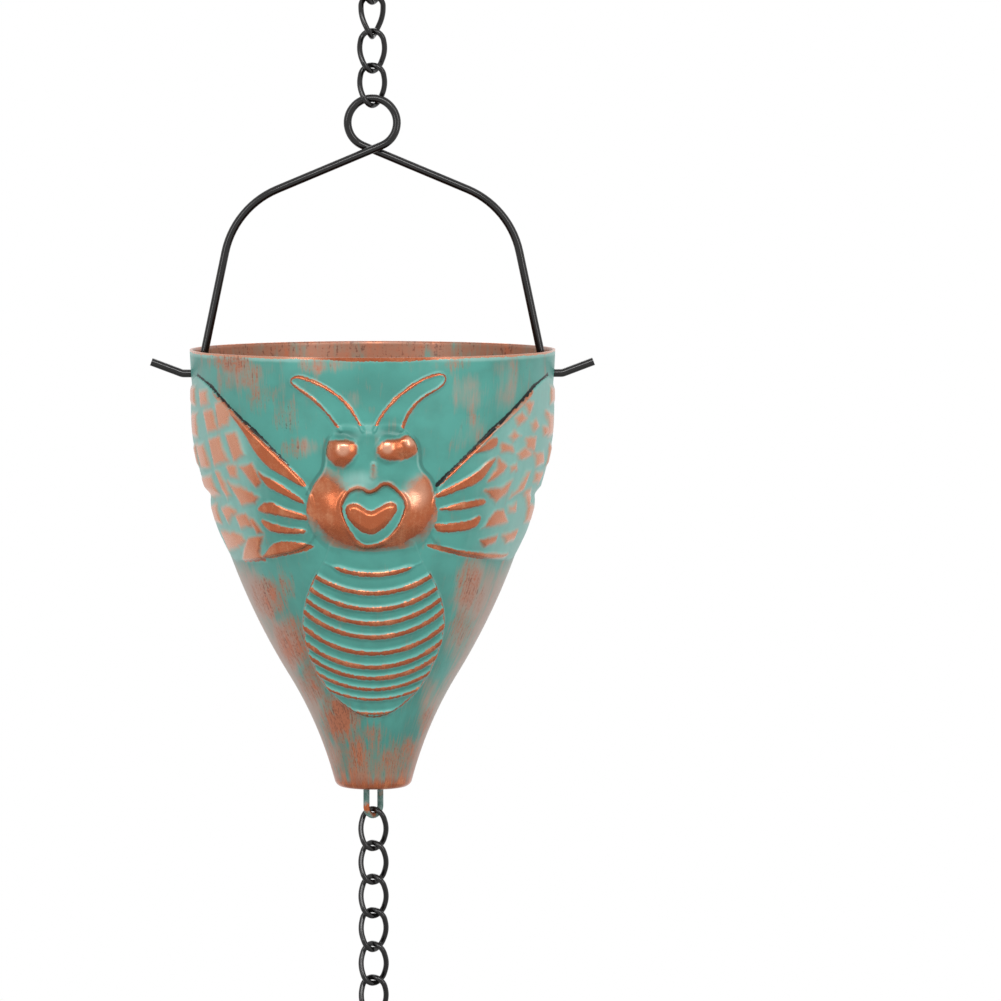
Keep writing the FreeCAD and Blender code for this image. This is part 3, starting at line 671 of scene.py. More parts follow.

# %% [markdown]
# ## Where the paint is worn, and painted highlights
#
# Raised parts are rubbed bare with a clear edge. Elsewhere the paint is only tired: dusty and pink
# along the sides, streaked down to the copper round the neck and here and there below the rim. On
# the face it is pale where thumbs touched it, and the pale spots on the eyes and the right cheek are
# painted highlights. All are kept as soft spots: a width from the middle, a drop, two half sizes and
# an amount.

# %% Mark the worn places and the painted highlights
RUBBED = [
    (-24, 63, 5, 9, 0.65), (-28.5, 66, 8, 10, 1.15), (-22, 79, 8, 13, 1.1), (-16.5, 90, 6.5, 11, 1.05),
    (26, 63, 7, 12, 0.9), (24, 75, 6, 12, 0.6), (-8.8, 99, 8, 13, 1.7), (-4.2, 112, 5, 13, 1.4),
    (4.5, 112, 8, 8, 0.95), (9.5, 110, 4, 7, 1.1), (14.5, 102, 4.5, 8, 0.95), (0, 104, 8, 6, 0.7),
    (-33, 5, 6, 8, 0.6), (-38, 2, 10, 5, 0.9), (-40, 8, 5, 7, 0.45), (-30, 11, 9, 9, 0.45),
    (-23, 16, 7, 9, 0.5), (-21, 25, 6, 7, 0.55), (40, 5, 7, 9, 0.3), (27, 19, 8, 10, 0.35),
    (-14, 2, 10, 4, 0.6), (22, 2, 14, 3, 0.4),
]
DUSTY = [
    (-33, 69, 9.5, 17, 1.25), (-25, 83, 8.5, 16, 1.3), (-17, 99, 7, 16, 1.0), (-12, 112, 5, 11, 0.9),
    (28, 65, 11, 17, 0.95), (24, 79, 8, 16, 0.6), (17, 98, 7, 16, 0.75), (-35, 5, 13, 8, 0.5),
    (-17.5, 24, 5, 5, 0.6), (-5, 12, 4, 6, 0.45), (26, 10, 9, 9, 0.6), (36, 9, 8, 13, 0.5),
    (27, 20, 8, 9, 0.5), (-13, 2, 13, 4, 0.6), (-38, 52, 9, 13, 0.6), (38, 52, 9, 13, 0.5),
]
# Pale spots on the eyes and the right cheek are painted highlights, the others pale worn paint.
PALE_AND_HIGHLIGHT = [
    (-4, 33, 9, 5, 0.75), (12, 36.5, 6.5, 8.5, 0.75), (9.9, 22.2, 2.8, 2.8, 0.9),
    (-8, 24, 3.4, 3.4, 0.95), (3.9, 23.9, 2.8, 2.8, 0.95),
]
SEAM = (60, 88)


def strongest_spot(spots, x, drop, least):
    amount = np.full(x.shape, float(least))
    for side, middle, half_width, half_height, most in spots:
        amount = np.maximum(amount, most * soft_spot(x, drop, side, middle, half_width, half_height))
    return amount


def even_spots(spots, x, drop, azimuth, least):
    """The strongest spot, made alike left and right towards the seams where front and back meet."""
    here = strongest_spot(spots, x, drop, least)
    there = strongest_spot(spots, -x, drop, least)
    return here + 0.5 * ease(*SEAM, np.abs(azimuth)) * (there - here)


print("rubbed places:", len(RUBBED), "dusty places:", len(DUSTY), "pale places:", len(PALE_AND_HIGHLIGHT))

# %% [markdown]
# ## Wrapping grids round the cup
#
# A flat grid can become a wall: each row gets a station, which is a radius and a drop, and each
# column an azimuth. Shares of the grid's width are listed with the azimuths they reach, so columns
# crowd towards the front, where the relief is finest. The bail's wire runs through two holes, opened
# by moving the nearest points outward and deleting the faces between them.

# %% Bend a grid
BAIL_WIRE = 2.2
HOLE_ROOM = 0.22
HOLE = BAIL_WIRE / 2 + HOLE_ROOM
HOLE_MARGIN = 0.2
HINGE_DROP = 6.6
LEAST_AWAY = 1e-6


def open_hinge(azimuth, drop, radius):
    """Push the points near the bail's wire out to the edge of a round hole."""
    side = np.sign(azimuth)
    along = np.radians(90 - np.abs(azimuth)) * radius
    down = drop - HINGE_DROP
    away = np.hypot(along, down)
    grow = np.where(away < HOLE + HOLE_MARGIN, HOLE / np.maximum(away, LEAST_AWAY), 1.0)
    azimuth = side * (90 - np.degrees(along * grow / radius))
    return azimuth, HINGE_DROP + down * grow, away < HOLE


def wall_grid(name, stations, columns, shares, azimuths):
    """Flat grid, the azimuth, drop and radius of each point, and which points lie in a hole."""
    bpy.ops.object.select_all(action="DESELECT")
    bpy.ops.mesh.primitive_grid_add(x_subdivisions=columns, y_subdivisions=len(stations) - 1, size=2)
    grid = bpy.context.object
    grid.name = name
    grid.data.name = name
    place = np.empty(len(grid.data.vertices) * 3, np.float32)
    grid.data.vertices.foreach_get("co", place)
    across, up, _ = place.reshape(-1, 3).T
    row = (1 - up) / 2 * (len(stations) - 1)
    radius = np.interp(row, np.arange(len(stations)), stations[:, 0])
    drop = np.interp(row, np.arange(len(stations)), stations[:, 1])
    azimuth = np.interp((across + 1) / 2, shares, azimuths)
    azimuth, drop, in_hole = open_hinge(azimuth, drop, radius)
    return grid, azimuth, drop, radius, in_hole


def set_points(item, x, y, drop):
    place = np.column_stack([x, y, RIM_HEIGHT - drop]) / 1000
    item.data.vertices.foreach_set("co", place.astype(np.float32).ravel())
    item.data.update()


print("hole for the wire:", 2 * HOLE, "mm")


# %% Finish a grid
def add_attribute(item, name, values):
    values = np.asarray(values, np.float32)
    if values.ndim == 2:
        item.data.attributes.new(name, "FLOAT_VECTOR", "POINT").data.foreach_set("vector", values.ravel())
    else:
        item.data.attributes.new(name, "FLOAT", "POINT").data.foreach_set("value", values)


def finish_grid(item, in_hole):
    """Delete the faces that lie in the hole, turn all others outward and shade them smooth."""
    corners = np.empty(len(item.data.polygons) * 4, np.int32)
    item.data.polygons.foreach_get("vertices", corners)
    inside_hole = in_hole[corners.reshape(-1, 4)].sum(1) >= 3
    bpy.context.view_layer.objects.active = item
    bpy.ops.object.mode_set(mode="EDIT")
    bpy.ops.mesh.select_all(action="DESELECT")
    bpy.ops.object.mode_set(mode="OBJECT")
    item.data.polygons.foreach_set("select", inside_hole)
    bpy.ops.object.mode_set(mode="EDIT")
    bpy.ops.mesh.select_mode(type="FACE")
    bpy.ops.mesh.delete(type="FACE")
    bpy.ops.mesh.select_all(action="SELECT")
    bpy.ops.mesh.normals_make_consistent(inside=False)
    bpy.ops.object.mode_set(mode="OBJECT")
    bpy.ops.object.shade_smooth()


print("a grid is bent, marked and finished")

# %% [markdown]
# ## What the paint has to know
#
# What the drawing knows about copper, painted highlights and shade, the black line of painted
# shadow and wear goes into attributes. A mask of 0 and 1 would show the grid as a saw-tooth, so
# copper and the black line are stored as depths, 0.5 on the edge, and the material makes the edge
# sharp. Another attribute is a place on a straight tube, where streaks run down the wall and don't
# cut through it.

# %% Bare copper and the black line of painted shadow
RAMP = 2.4
FACE_BORDER = 4
RIM_COPPER = 0.55
RIM_COPPER_MORE = 0.5
RIM_MIDDLE = 2
RIM_COPPER_HALF = 22
LIP_COPPER = 117.2
LIP_BLUR = 0.35
TUBE = 0.04


def as_ramp(depth):
    return np.clip(0.5 + depth / RAMP, 0, 1)


def wrap_place(azimuth, drop):
    angle = np.radians(azimuth)
    return np.column_stack([TUBE * np.sin(angle), -TUBE * np.cos(angle), -drop / 1000])


def bare_marks(x, drop, drawn):
    beside_face = FACE_BORDER * (0.5 - drawn["face"]["share"])
    on_wall = np.minimum(drawn["copper"], beside_face)
    on_face = np.minimum(drawn["face"]["copper"], -beside_face)
    rim = RIM_COPPER + RIM_COPPER_MORE * soft_spot(x, 0, RIM_MIDDLE, 0, RIM_COPPER_HALF, 1) - drop
    copper = largest(on_wall, on_face, rim, LIP_BLUR * (drop - LIP_COPPER))
    # The black line beside the wings is painted shadow, kept as a depth like the copper.
    return {"copper": as_ramp(copper), "wing_shadow": as_ramp(np.minimum(drawn["line"], beside_face))}


print("a depth of", RAMP / 2, "mm is far inside")

# %% Pale paint, painted highlights and painted shade
HEAD_LINE_END = 37.0
HEAD_LINE_START = (19, 23)
# On the head's outline a pale line inside is painted highlight, a dark line outside painted shadow.
HEAD_HIGHLIGHT_LINE = 0.35
HEAD_HIGHLIGHT_LINE_STEP = (0.6, 0.1)
HEAD_HIGHLIGHT_LINE_AMOUNT = 0.7
HEAD_SHADE_LINE = -0.4
HEAD_SHADE_LINE_STEP = (0.75, 0.1)
# Painted shade in the brow dents, on the neck, which faces down, and at the top middle of the wall.
DENT_SHADE_SIZE = (5, 2.2)
NECK_SHADE = 0.5
NECK_SHADE_BELOW = (94, 106)
TOP_SHADE = 0.48
TOP_SHADE_SPOT = (0, 8, 30, 11)
RIM_FADE = 0.8
RIM_FADE_STEP = (2, 0.8)
RIM_FADE_HALF = 26
CELL_SOFTNESS = 0.6
CELL_SOFT_FROM = (41, 45)
CELL_SOFT_HEIGHT = (0.3, 0.6)
FADE_SOFTNESS = 1.3
SOFT_LIP = (112, 116)


def tint_marks(x, drop, azimuth, drawn):
    share = drawn["face"]["share"]
    head_edge = np.where(drop < HEAD_LINE_END, drawn["face"]["head"], -OUTSIDE)
    started = ease(*HEAD_LINE_START, drop)
    # Painted highlight just inside the head's outline, painted shadow just outside it.
    painted_head_highlight = HEAD_HIGHLIGHT_LINE_AMOUNT * ease(*HEAD_HIGHLIGHT_LINE_STEP, np.abs(head_edge - HEAD_HIGHLIGHT_LINE)) * started
    painted_head_shade = ease(*HEAD_SHADE_LINE_STEP, np.abs(head_edge - HEAD_SHADE_LINE)) * started
    rim_fade = RIM_FADE * ease(*RIM_FADE_STEP, drop)
    rim_fade = rim_fade * (1 - soft_spot(x, 0, RIM_MIDDLE, 0, RIM_FADE_HALF, 1))
    pale = largest(strongest_spot(PALE_AND_HIGHLIGHT, x, drop, 0) * share, painted_head_highlight, rim_fade)
    # Painted shade: brow dents, the head's dark line, the down-facing neck and the top middle.
    dents = [(side, middle, *DENT_SHADE_SIZE, 1) for side, middle in BROW_DENTS]
    shade = largest(
        strongest_spot(dents, x, drop, 0) * share, painted_head_shade,
        NECK_SHADE * ease(*NECK_SHADE_BELOW, drop), TOP_SHADE * soft_spot(x, drop, *TOP_SHADE_SPOT),
    )
    cells = CELL_SOFTNESS * ease(*CELL_SOFT_FROM, np.abs(azimuth)) * ease(*CELL_SOFT_HEIGHT, drawn["wing"])
    faded = np.minimum(FADE_SOFTNESS * (1 - drawn["tint"]), 1)
    soft = largest(drawn["face"]["soft"], np.maximum(faded, cells) * (1 - share), ease(*SOFT_LIP, drop))
    # Tint below 1 pales the paint, also for painted highlights; above 1 it is painted shade.
    return {"tint": np.maximum(drawn["tint"], share) - pale + shade, "soft": soft}


print("brow dents in shade:", len(BROW_DENTS))

# %% Rubbed and dusty paint
RELIEF_STEP = (0.02, 0.3)
RELIEF_ABOVE = (100, 96)
LEAST_RUB = 0.1
NECK_RUB = 0.6
NECK_RUB_BELOW = (99, 110)
LESS_RUB = 0.85
LEAST_DUST = 0.08
SIDE_DUST = 0.85
SIDE_DUST_BELOW = (50, 64)
SIDE_DUST_FROM = (42, 72)
LESS_DUST = 0.8


def wear_marks(x, drop, azimuth, drawn):
    relief = ease(*RELIEF_STEP, drawn["height"]) * ease(*RELIEF_ABOVE, drop)
    relief = np.maximum(relief, drawn["face"]["share"])
    neck_rub = NECK_RUB * ease(*NECK_RUB_BELOW, drop)
    rub = np.maximum(even_spots(RUBBED, x, drop, azimuth, LEAST_RUB), neck_rub)
    side_dust = SIDE_DUST * ease(*SIDE_DUST_BELOW, drop) * ease(*SIDE_DUST_FROM, np.abs(azimuth))
    dust = np.maximum(even_spots(DUSTY, x, drop, azimuth, LEAST_DUST), side_dust)
    return {"rub": rub * (1 - LESS_RUB * relief), "dust": dust * (1 - LESS_DUST * relief)}


print("less rub on raised parts:", LESS_RUB)

# %% [markdown]
# ## The side with the bee
#
# All heights now move the wall's points outward, and the marks follow. The side comes in an upper
# and a lower piece, so that neither grows too heavy: rows and columns lie close where the bee is and
# wide apart on the plain neck.

# %% Press the bee into the wall
FRONT_LIMIT = 52.0
FRONT_BLEND = 2.5


def press_bee(azimuth, drop, radius):
    """Where each point goes, and what is drawn there."""
    angle = np.radians(azimuth)
    x = radius * np.sin(angle)
    wing, wing_copper, line, tint = wing_relief(azimuth, drop)
    antenna, antenna_copper = antenna_relief(x, drop)
    body, body_copper = body_relief(x, drop)
    height = largest(wing, antenna, body)
    x, y = (radius + height) * np.sin(angle), (radius + height) * np.cos(angle)
    face = face_relief(x, y, drop)
    y = np.maximum(y, FRONT_LIMIT - smooth_top(FRONT_LIMIT - face["front"], 0, FRONT_BLEND))
    copper = largest(wing_copper, antenna_copper, body_copper)
    return x, y, {
        "height": height, "wing": wing, "line": line, "tint": tint, "copper": copper, "face": face,
    }


def bee_side(name, stations, columns, shares, azimuths):
    grid, azimuth, drop, radius, in_hole = wall_grid(name, stations, columns, shares, azimuths)
    x, y, drawn = press_bee(azimuth, drop, radius)
    set_points(grid, x, -y, drop)
    marks = {"wrap": wrap_place(azimuth, drop)}
    marks.update(bare_marks(x, drop, drawn))
    marks.update(tint_marks(x, drop, azimuth, drawn))
    marks.update(wear_marks(x, drop, azimuth, drawn))
    for mark, values in marks.items():
        add_attribute(grid, mark, values)
    finish_grid(grid, in_hole)
    return grid


SPLIT = 60.8
BEE_END = 103
UPPER_COLUMNS = 456
LOWER_COLUMNS = 330
UPPER_ROWS = 210
LOWER_ROWS = 142
NECK_ROWS = 22
LIP_ROWS = 8

lip_radius, lip_drop = lip_turn(LIP, LIP_ROWS)
upper_drop = np.linspace(0, SPLIT, UPPER_ROWS)
neck_drop = np.linspace(BEE_END, lip_drop[0], NECK_ROWS)
lower_drop = np.concatenate([np.linspace(SPLIT, BEE_END, LOWER_ROWS), neck_drop[1:]])
upper = np.column_stack([wall_radius(upper_drop), upper_drop])
lower = np.column_stack([wall_radius(lower_drop), lower_drop])
lower = np.vstack([lower, np.column_stack([lip_radius, lip_drop])[1:]])

cup_front_upper = bee_side(
    "cup_front_upper", upper, UPPER_COLUMNS,
    shares=[0, 0.024, 0.3, 0.7, 0.976, 1], azimuths=[-90, -83, -25, 25, 83, 90],
)
cup_front_lower = bee_side(
    "cup_front_lower", lower, LOWER_COLUMNS,
    shares=[0, 0.2, 0.8, 1], azimuths=[-90, -41, 41, 90],
)
for item in (cup_front_upper, cup_front_lower):
    print(item.name, len(item.data.polygons), "faces")

# %% [markdown]
# ## The back
#
# The photo doesn't show the back, and such cups are often pressed alike on both sides, so the back
# is a copy turned half way round. The place that steers the streaks turns with it.


# %% Copy the side with the bee
def turned_copy(item, name):
    bpy.ops.object.select_all(action="DESELECT")
    item.select_set(True)
    bpy.context.view_layer.objects.active = item
    bpy.ops.object.duplicate()
    copy = bpy.context.object
    copy.name = name
    copy.data.name = name
    bpy.ops.transform.rotate(value=math.pi, orient_axis="Z", center_override=(0, 0, 0))
    bpy.ops.object.transform_apply(location=True, rotation=True, scale=True)
    wrap = np.empty(len(copy.data.vertices) * 3, np.float32)
    copy.data.attributes["wrap"].data.foreach_get("vector", wrap)
    wrap = wrap.reshape(-1, 3) * (-1, -1, 1)
    copy.data.attributes["wrap"].data.foreach_set("vector", wrap.astype(np.float32).ravel())
    return copy


cup_back_upper = turned_copy(cup_front_upper, "cup_back_upper")
cup_back_lower = turned_copy(cup_front_lower, "cup_back_lower")
print("copies:", cup_back_upper.name, cup_back_lower.name)

# %% [markdown]
# ## The inside
#
# The inside is plain: over the rim, down the wall, round the lip and out under the spout. Two half
# grids are joined and their doubles merged, which closes the seams at the sides.

# %% Line the cup
RIM_ROUND = 0.15
INSIDE_COLUMNS = 96
INSIDE_ROWS = 60
INSIDE_LIP_ROWS = 6
INSIDE_RIM_COPPER = 0.3
INSIDE_LIP_COPPER = 117.9
INSIDE_MARKS = {"wing_shadow": 0, "soft": 1, "tint": 1, "rub": 0.85, "dust": 0.35}
MERGE_DISTANCE = 0.000005

inside_lip_radius, inside_lip_drop = lip_turn(LIP - WALL, INSIDE_LIP_ROWS)
inside_drop = np.interp(
    np.linspace(0, 1, INSIDE_ROWS), [0, 0.08, 0.3, 1], [RIM_ROUND, 4, 10, inside_lip_drop[0]],
)
inside = np.vstack([
    [[RIM_RADIUS, 0], [RIM_RADIUS - RIM_ROUND, 0], [RIM_RADIUS - WALL + RIM_ROUND, 0]],
    np.column_stack([wall_radius(inside_drop) - WALL, inside_drop]),
    np.column_stack([inside_lip_radius, inside_lip_drop])[1:],
    [[OUTLET, CUP_HEIGHT - WALL], [OUTLET, CUP_HEIGHT], [lip_radius[-1], CUP_HEIGHT]],
])

halves = []
for turn in (0, 180):
    half, azimuth, drop, radius, in_hole = wall_grid(
        "cup_inside", inside, INSIDE_COLUMNS,
        shares=[0, 0.12, 0.88, 1], azimuths=[-90, -83, 83, 90],
    )
    angle = np.radians(azimuth + turn)
    set_points(half, radius * np.sin(angle), -radius * np.cos(angle), drop)
    bare_depth = np.maximum(INSIDE_RIM_COPPER - drop, drop - INSIDE_LIP_COPPER)
    add_attribute(half, "copper", as_ramp(bare_depth))
    add_attribute(half, "wrap", wrap_place(azimuth + turn, drop))
    for mark, value in INSIDE_MARKS.items():
        add_attribute(half, mark, np.full(drop.shape, value))
    finish_grid(half, in_hole)
    halves.append(half)
bpy.ops.object.select_all(action="DESELECT")
for half in halves:
    half.select_set(True)
cup_inside = halves[0]
bpy.context.view_layer.objects.active = cup_inside
bpy.ops.object.join()
bpy.ops.object.mode_set(mode="EDIT")
bpy.ops.mesh.select_all(action="SELECT")
bpy.ops.mesh.remove_doubles(threshold=MERGE_DISTANCE)
bpy.ops.object.mode_set(mode="OBJECT")
print("cup_inside:", len(cup_inside.data.vertices), "points")

# %% [markdown]
# ## Sums with sockets
#
# A material is a graph of nodes, but most of it is arithmetic. This small class lets sockets be
# added, multiplied and mixed like numbers, and one method makes every node.


# %% Wrap sockets and materials
class Socket:
    def __init__(self, paint, socket):
        self.paint = paint
        self.socket = socket

    def work_out(self, operation, first, second):
        return self.paint.make("ShaderNodeMath", {0: first, 1: second}, operation=operation)

    def __add__(self, other):
        return self.work_out("ADD", self, other)

    def __sub__(self, other):
        return self.work_out("SUBTRACT", self, other)

    def __rsub__(self, other):
        return self.work_out("SUBTRACT", other, self)

    def __mul__(self, other):
        return self.work_out("MULTIPLY", self, other)

    __radd__ = __add__
    __rmul__ = __mul__

    def top(self, other):
        return self.work_out("MAXIMUM", self, other)

    def step(self, low, high):
        settings = {"interpolation_type": "SMOOTHSTEP"}
        return self.paint.make("ShaderNodeMapRange", {0: self, 1: low, 2: high}, **settings)

    def mix(self, first, second):
        settings = {"data_type": "RGBA"}
        return self.paint.make("ShaderNodeMix", {0: self, 6: first, 7: second}, output=2, **settings)


class Paint:
    def __init__(self, name):
        self.material = bpy.data.materials.new(name)
        self.material.use_nodes = True
        self.tree = self.material.node_tree
        self.shader = self.tree.nodes["Principled BSDF"]

    def make(self, kind, inputs, output=0, **settings):
        node = self.tree.nodes.new(kind)
        for key, value in settings.items():
            setattr(node, key, value)
        for key, value in inputs.items():
            self.join(node.inputs[key], value)
        return Socket(self, node.outputs[output])

    def join(self, target, value):
        if isinstance(value, Socket):
            self.tree.links.new(value.socket, target)
        elif isinstance(value, tuple):
            target.default_value = (*value, 1) if target.type == "RGBA" else value
        else:
            target.default_value = value

    def attribute(self, name, output=2):
        return self.make("ShaderNodeAttribute", {}, output=output, attribute_name=name)

    def object_place(self):
        return self.make("ShaderNodeTexCoord", {}, output=3)

    def noise(self, place, scale, detail=3.0, stretch=(1, 1, 1)):
        mapped = self.make("ShaderNodeMapping", {0: place, 3: stretch})
        return self.make("ShaderNodeTexNoise", {"Vector": mapped, "Scale": scale, "Detail": detail})

    def set(self, **values):
        for key, value in values.items():
            self.join(self.shader.inputs[key.replace("_", " ")], value)


print("one class for sockets, one for a material")

# %% [markdown]
# ## Teal paint over copper
#
# On the real cup teal paint was wiped off the copper while wet. Painting that by hand would need
# an image, so noise does it: fine noise frays the edge of the bare parts, and noise drawn out down
# the wall makes the streaks. First come the attributes, the noises and the masks made of them.

# %% Find the bare and worn parts
NOISE_MIDDLE = 0.5

patina = Paint("cup_patina")
wall_place = patina.attribute("wrap", output=1)
bare = patina.attribute("copper")
tint = patina.attribute("tint")
rub = patina.attribute("rub")
dust = patina.attribute("dust")
# The black line of painted shadow beside the wings.
wing_shadow = patina.attribute("wing_shadow")
soft = patina.attribute("soft")
cloud = patina.noise(wall_place, 45, 3)
blotch = patina.noise(wall_place, 190, 4)
fine = patina.noise(wall_place, 1500, 4)
streak = patina.noise(wall_place, 520, 5, (1, 1, 0.14))
hair = patina.noise(wall_place, 2000, 3, (1, 1, 0.12))


def frayed(value, *noises):
    """A value made uneven by noises, each with its weight."""
    for noise, weight in noises:
        value = value + (noise - NOISE_MIDDLE) * weight
    return value


edge = frayed(bare, (fine, 0.3), (streak, 0.3), (blotch, 0.2 + soft * 0.6))
copper = edge.step(0.46 - soft * 0.28, 0.54 + soft * 0.28)
stain = frayed(rub, (streak, 1.0), (blotch, 0.9), (hair, 0.6)).step(0.2, 0.9)
rubbed_through = frayed(rub, (streak, 1.6), (blotch, 2.0), (fine, 0.8)).step(0.75, 1.35)
hatch = (hair * 0.5 + fine * 0.5).step(0.43, 0.57)
worn = stain * (0.4 + hatch * 0.5).top(soft * 0.85).top(rubbed_through * 0.95)
haze = frayed(dust, (cloud, 0.5), (streak, 0.9), (blotch, 0.7), (hair, 0.5)).step(0.1, 1.0)
scratch = (hair * 0.6 + fine * 0.5 + rub * 0.08).step(0.68, 0.75) * rub.step(0.12, 0.5)
# Black: the painted shadow line beside the wings, and real dark scratches.
black = frayed(wing_shadow, (fine, 0.3)).step(0.44, 0.56).top(scratch * 0.5)
print("nodes of the masks:", len(patina.tree.nodes))

# %% [markdown]
# ## Colours of the cup
#
# Each mask lays one colour over the others: pale teal with painted highlights and sheen, teal in
# painted shade, dust, rubbed stains, bare copper, and black for painted shadow and scratches. Copper
# is a metal and paint isn't, so the mask of the copper also drives metallic and roughness, and a
# little bump sets the paint on top of the metal.

# %% Mix the patina
TEAL = (0.07, 0.345, 0.29)
TEAL_DEEP = (0.05, 0.26, 0.215)
# Pale teal is faded paint, and also painted highlights and painted sheen.
TEAL_PALE = (0.27, 0.54, 0.48)
# Teal in painted shade.
TEAL_SHADE = (0.035, 0.2, 0.165)
COPPER = (0.4, 0.098, 0.032)
COPPER_DEEP = (0.31, 0.075, 0.027)
COPPER_LIGHT = (0.58, 0.24, 0.12)
# Salmon is dusty copper, and also painted sheen and painted highlights.
SALMON = (0.6, 0.285, 0.18)
STAIN = (0.42, 0.15, 0.078)
STAIN_BARE = (0.47, 0.135, 0.055)
DUST = (0.49, 0.29, 0.225)
# Near-black for the painted shadow line and for scratches.
SHADOW_AND_SCRATCH_BLACK = (0.01, 0.012, 0.011)

metal = edge.step(0.5, 0.8).mix(COPPER_DEEP, COPPER)
metal = ((streak * 0.3 + fine * 0.2 + blotch * 0.5).step(0.46, 0.66) * 0.6).mix(metal, COPPER_LIGHT)
# Salmon where tint is low: dusty copper, painted sheen at the sides, painted highlights on the face.
metal = frayed(tint, (blotch, 0.5)).step(0.1, 0.8).mix(SALMON, metal)
teal = (cloud * 0.6 + blotch * 0.4).step(0.35, 0.65).mix(TEAL, TEAL_DEEP)
# Pale teal where tint is low: faded paint, painted sheen and painted highlights.
teal = frayed(tint, (streak, 0.4)).step(0, 0.95).mix(TEAL_PALE, teal)
# Painted shade where tint rises above 1.
teal = tint.step(1.1, 1.8).mix(teal, TEAL_SHADE)
# The pale rim round the copper is a painted highlight.
teal = (edge.step(0.26, 0.45) * 0.28).mix(teal, TEAL_PALE)
teal = (haze * 0.85).mix(teal, DUST)
painted = worn.mix(teal, rubbed_through.mix(STAIN, STAIN_BARE))
colour = black.mix(copper.mix(painted, metal), SHADOW_AND_SCRATCH_BLACK)
grain = patina.make(
    "ShaderNodeBump",
    {"Height": fine * 0.5 + streak * 0.4 - copper * 0.5, "Strength": 0.13, "Distance": 0.0003},
)
patina.set(Base_Color=colour, Metallic=(copper * 0.85).top(worn * 0.4).top(black * 0.9), Normal=grain)
patina.set(Roughness=frayed(0.46 - copper * 0.2, (fine, 0.2)))
patina.set(Coat_Weight=0.3, Coat_Roughness=0.3)

cup_pieces = (cup_front_upper, cup_front_lower, cup_back_upper, cup_back_lower, cup_inside)
for item in cup_pieces:
    item.data.materials.clear()
    item.data.materials.append(patina.material)
print("paint nodes:", len(patina.tree.nodes))

# %% [markdown]
# ## The eye under the spout
#
# The eye is bent from copper wire and got the same paint as the cup. The solid keeps its shape. Its
# material needs only patches of copper in the teal.

# %% Paint the eye
EYE_TEAL = (0.075, 0.2, 0.165)
EYE_FILM = (0.24, 0.36, 0.33)

eye_patina = Paint("eye_patina")
eye_place = eye_patina.object_place()
patch = eye_patina.noise(eye_place, 240, 4).step(0.5, 0.62)
film = eye_patina.noise(eye_place, 900, 3).step(0.35, 0.7)
eye_patina.set(Base_Color=patch.mix(film.mix(EYE_TEAL, EYE_FILM), COPPER))
eye_patina.set(Metallic=patch * 0.75, Roughness=0.36)
print("eye nodes:", len(eye_patina.tree.nodes))

# %% [markdown]
# ## Black wire
#
# The bail and the links are bent from black coated wire, and their solids already have its shape.
# The coat is deep and smooth enough for narrow highlights, with a faint grain that breaks them.

# %% Coat the wire
WIRE_BLACK = (0.004, 0.0033, 0.0033)
WIRE_WORN = (0.01, 0.008, 0.008)

wire = Paint("black_wire")
coat_grain = wire.noise(wire.object_place(), 700, 4)
coat_wear = wire.noise(wire.object_place(), 160, 3)
coat_bump = wire.make("ShaderNodeBump", {"Height": coat_grain, "Strength": 0.04, "Distance": 0.0003})
wire.set(Base_Color=coat_wear.step(0.5, 0.75).mix(WIRE_BLACK, WIRE_WORN), Normal=coat_bump)
wire.set(Roughness=0.17 + (coat_grain - NOISE_MIDDLE) * 0.1, Specular_IOR_Level=0.42)

for name, node in frame["nodes"].items():
    node.data.materials.clear()
    node.data.materials.append(eye_patina.material if name == "bottom_eye" else wire.material)
print("wire on", len(frame["nodes"]) - 2, "nodes")

# %% [markdown]
# ## Light and floor
#
# The photo has a white background and soft light from above, which leaves the lower wall darker.
# A white world as bright as its background would wash that out, so it is white only to the camera
# and in reflections. Two tall lamps beside the camera and a wide one above it draw long highlights
# along the wires, a weak lamp lights the back, and a pale floor lies far below.

# %% Make the world white
AMBIENT = 0.36

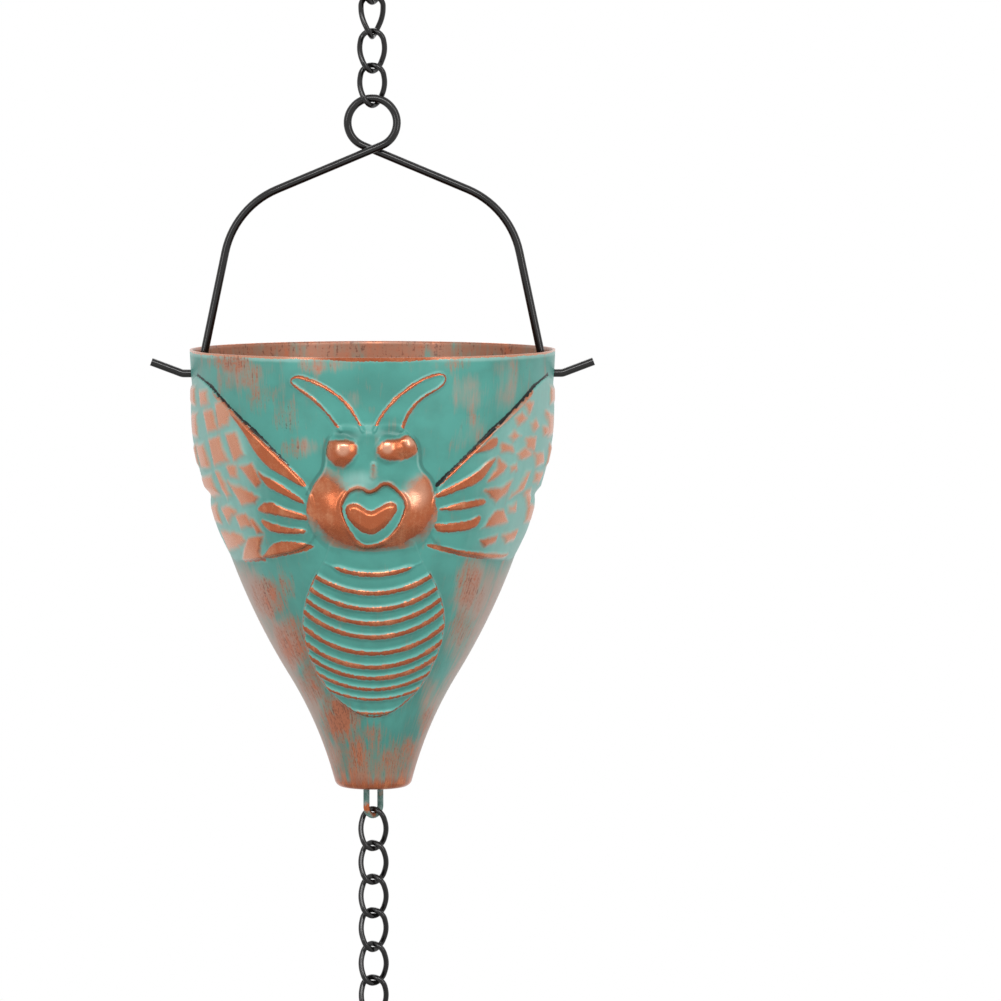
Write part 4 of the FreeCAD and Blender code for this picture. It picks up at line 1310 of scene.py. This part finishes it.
world = bpy.data.worlds.new("world")
bpy.context.scene.world = world
world.use_nodes = True
background = world.node_tree.nodes["Background"]
background.inputs["Color"].default_value = (1, 1, 1, 1)
rays = world.node_tree.nodes.new("ShaderNodeLightPath")
seen = rays.outputs["Is Camera Ray"]
for kind in ("Is Glossy Ray", "Is Transmission Ray"):
    either = world.node_tree.nodes.new("ShaderNodeMath")
    either.operation = "MAXIMUM"
    world.node_tree.links.new(seen, either.inputs[0])
    world.node_tree.links.new(rays.outputs[kind], either.inputs[1])
    seen = either.outputs[0]
strength = world.node_tree.nodes.new("ShaderNodeMapRange")
strength.inputs["To Min"].default_value = AMBIENT
strength.inputs["To Max"].default_value = 1.0
world.node_tree.links.new(seen, strength.inputs["Value"])
world.node_tree.links.new(strength.outputs["Result"], background.inputs["Strength"])
bpy.context.scene.view_settings.view_transform = "Standard"
print("light from all sides:", AMBIENT)

# %% Hang the lamps and lay the floor
LIGHTS = [
    ("left", (-0.75, -0.85, 0.2), 0.18, 0.8, 3.0),
    ("right", (0.75, -0.85, 0.2), 0.18, 0.8, 3.6),
    ("top", (0.0, -1.05, 0.55), 0.8, 0.22, 6.5),
    ("back", (0.0, 0.9, 0.7), 0.6, 0.4, 4.0),
]
LIGHT_AIM = (0, 0, -0.17)
FLOOR_PLACE = (0, 0, -0.6)
FLOOR_RADIUS = 0.5

for name, place, width, height, power in LIGHTS:
    bpy.ops.object.light_add(type="AREA", location=place)
    light = bpy.context.object
    light.name = name
    light.data.shape = "RECTANGLE"
    light.data.size = width
    light.data.size_y = height
    light.data.energy = power
    towards = Vector(LIGHT_AIM) - light.location
    light.rotation_euler = towards.to_track_quat("-Z", "Y").to_euler()

bpy.ops.object.select_all(action="DESELECT")
bpy.ops.mesh.primitive_circle_add(
    vertices=96, radius=FLOOR_RADIUS, fill_type="NGON", location=FLOOR_PLACE,
)
floor = bpy.context.object
floor.name = "floor"
matte = Paint("floor_matte")
matte.set(Base_Color=(0.75, 0.75, 0.74), Roughness=0.8)
floor.data.materials.append(matte.material)
floor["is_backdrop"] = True
print("lights:", len(LIGHTS))

# %% [markdown]
# ## Onto the bodies
#
# The new pieces ride on the cup's body and stand for its solid. Both boxes are kept and their
# difference is printed, so that a visual model that has outgrown the solids is seen at once.

# %% Hand the pieces over
for item in cup_pieces:
    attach(item, "cup")
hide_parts("cup")

visual_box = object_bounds()
growth = (visual_box[1] - visual_box[0]) - (cad_box[1] - cad_box[0])
print("box grew by", [round(1000 * side, 2) for side in growth], "mm")
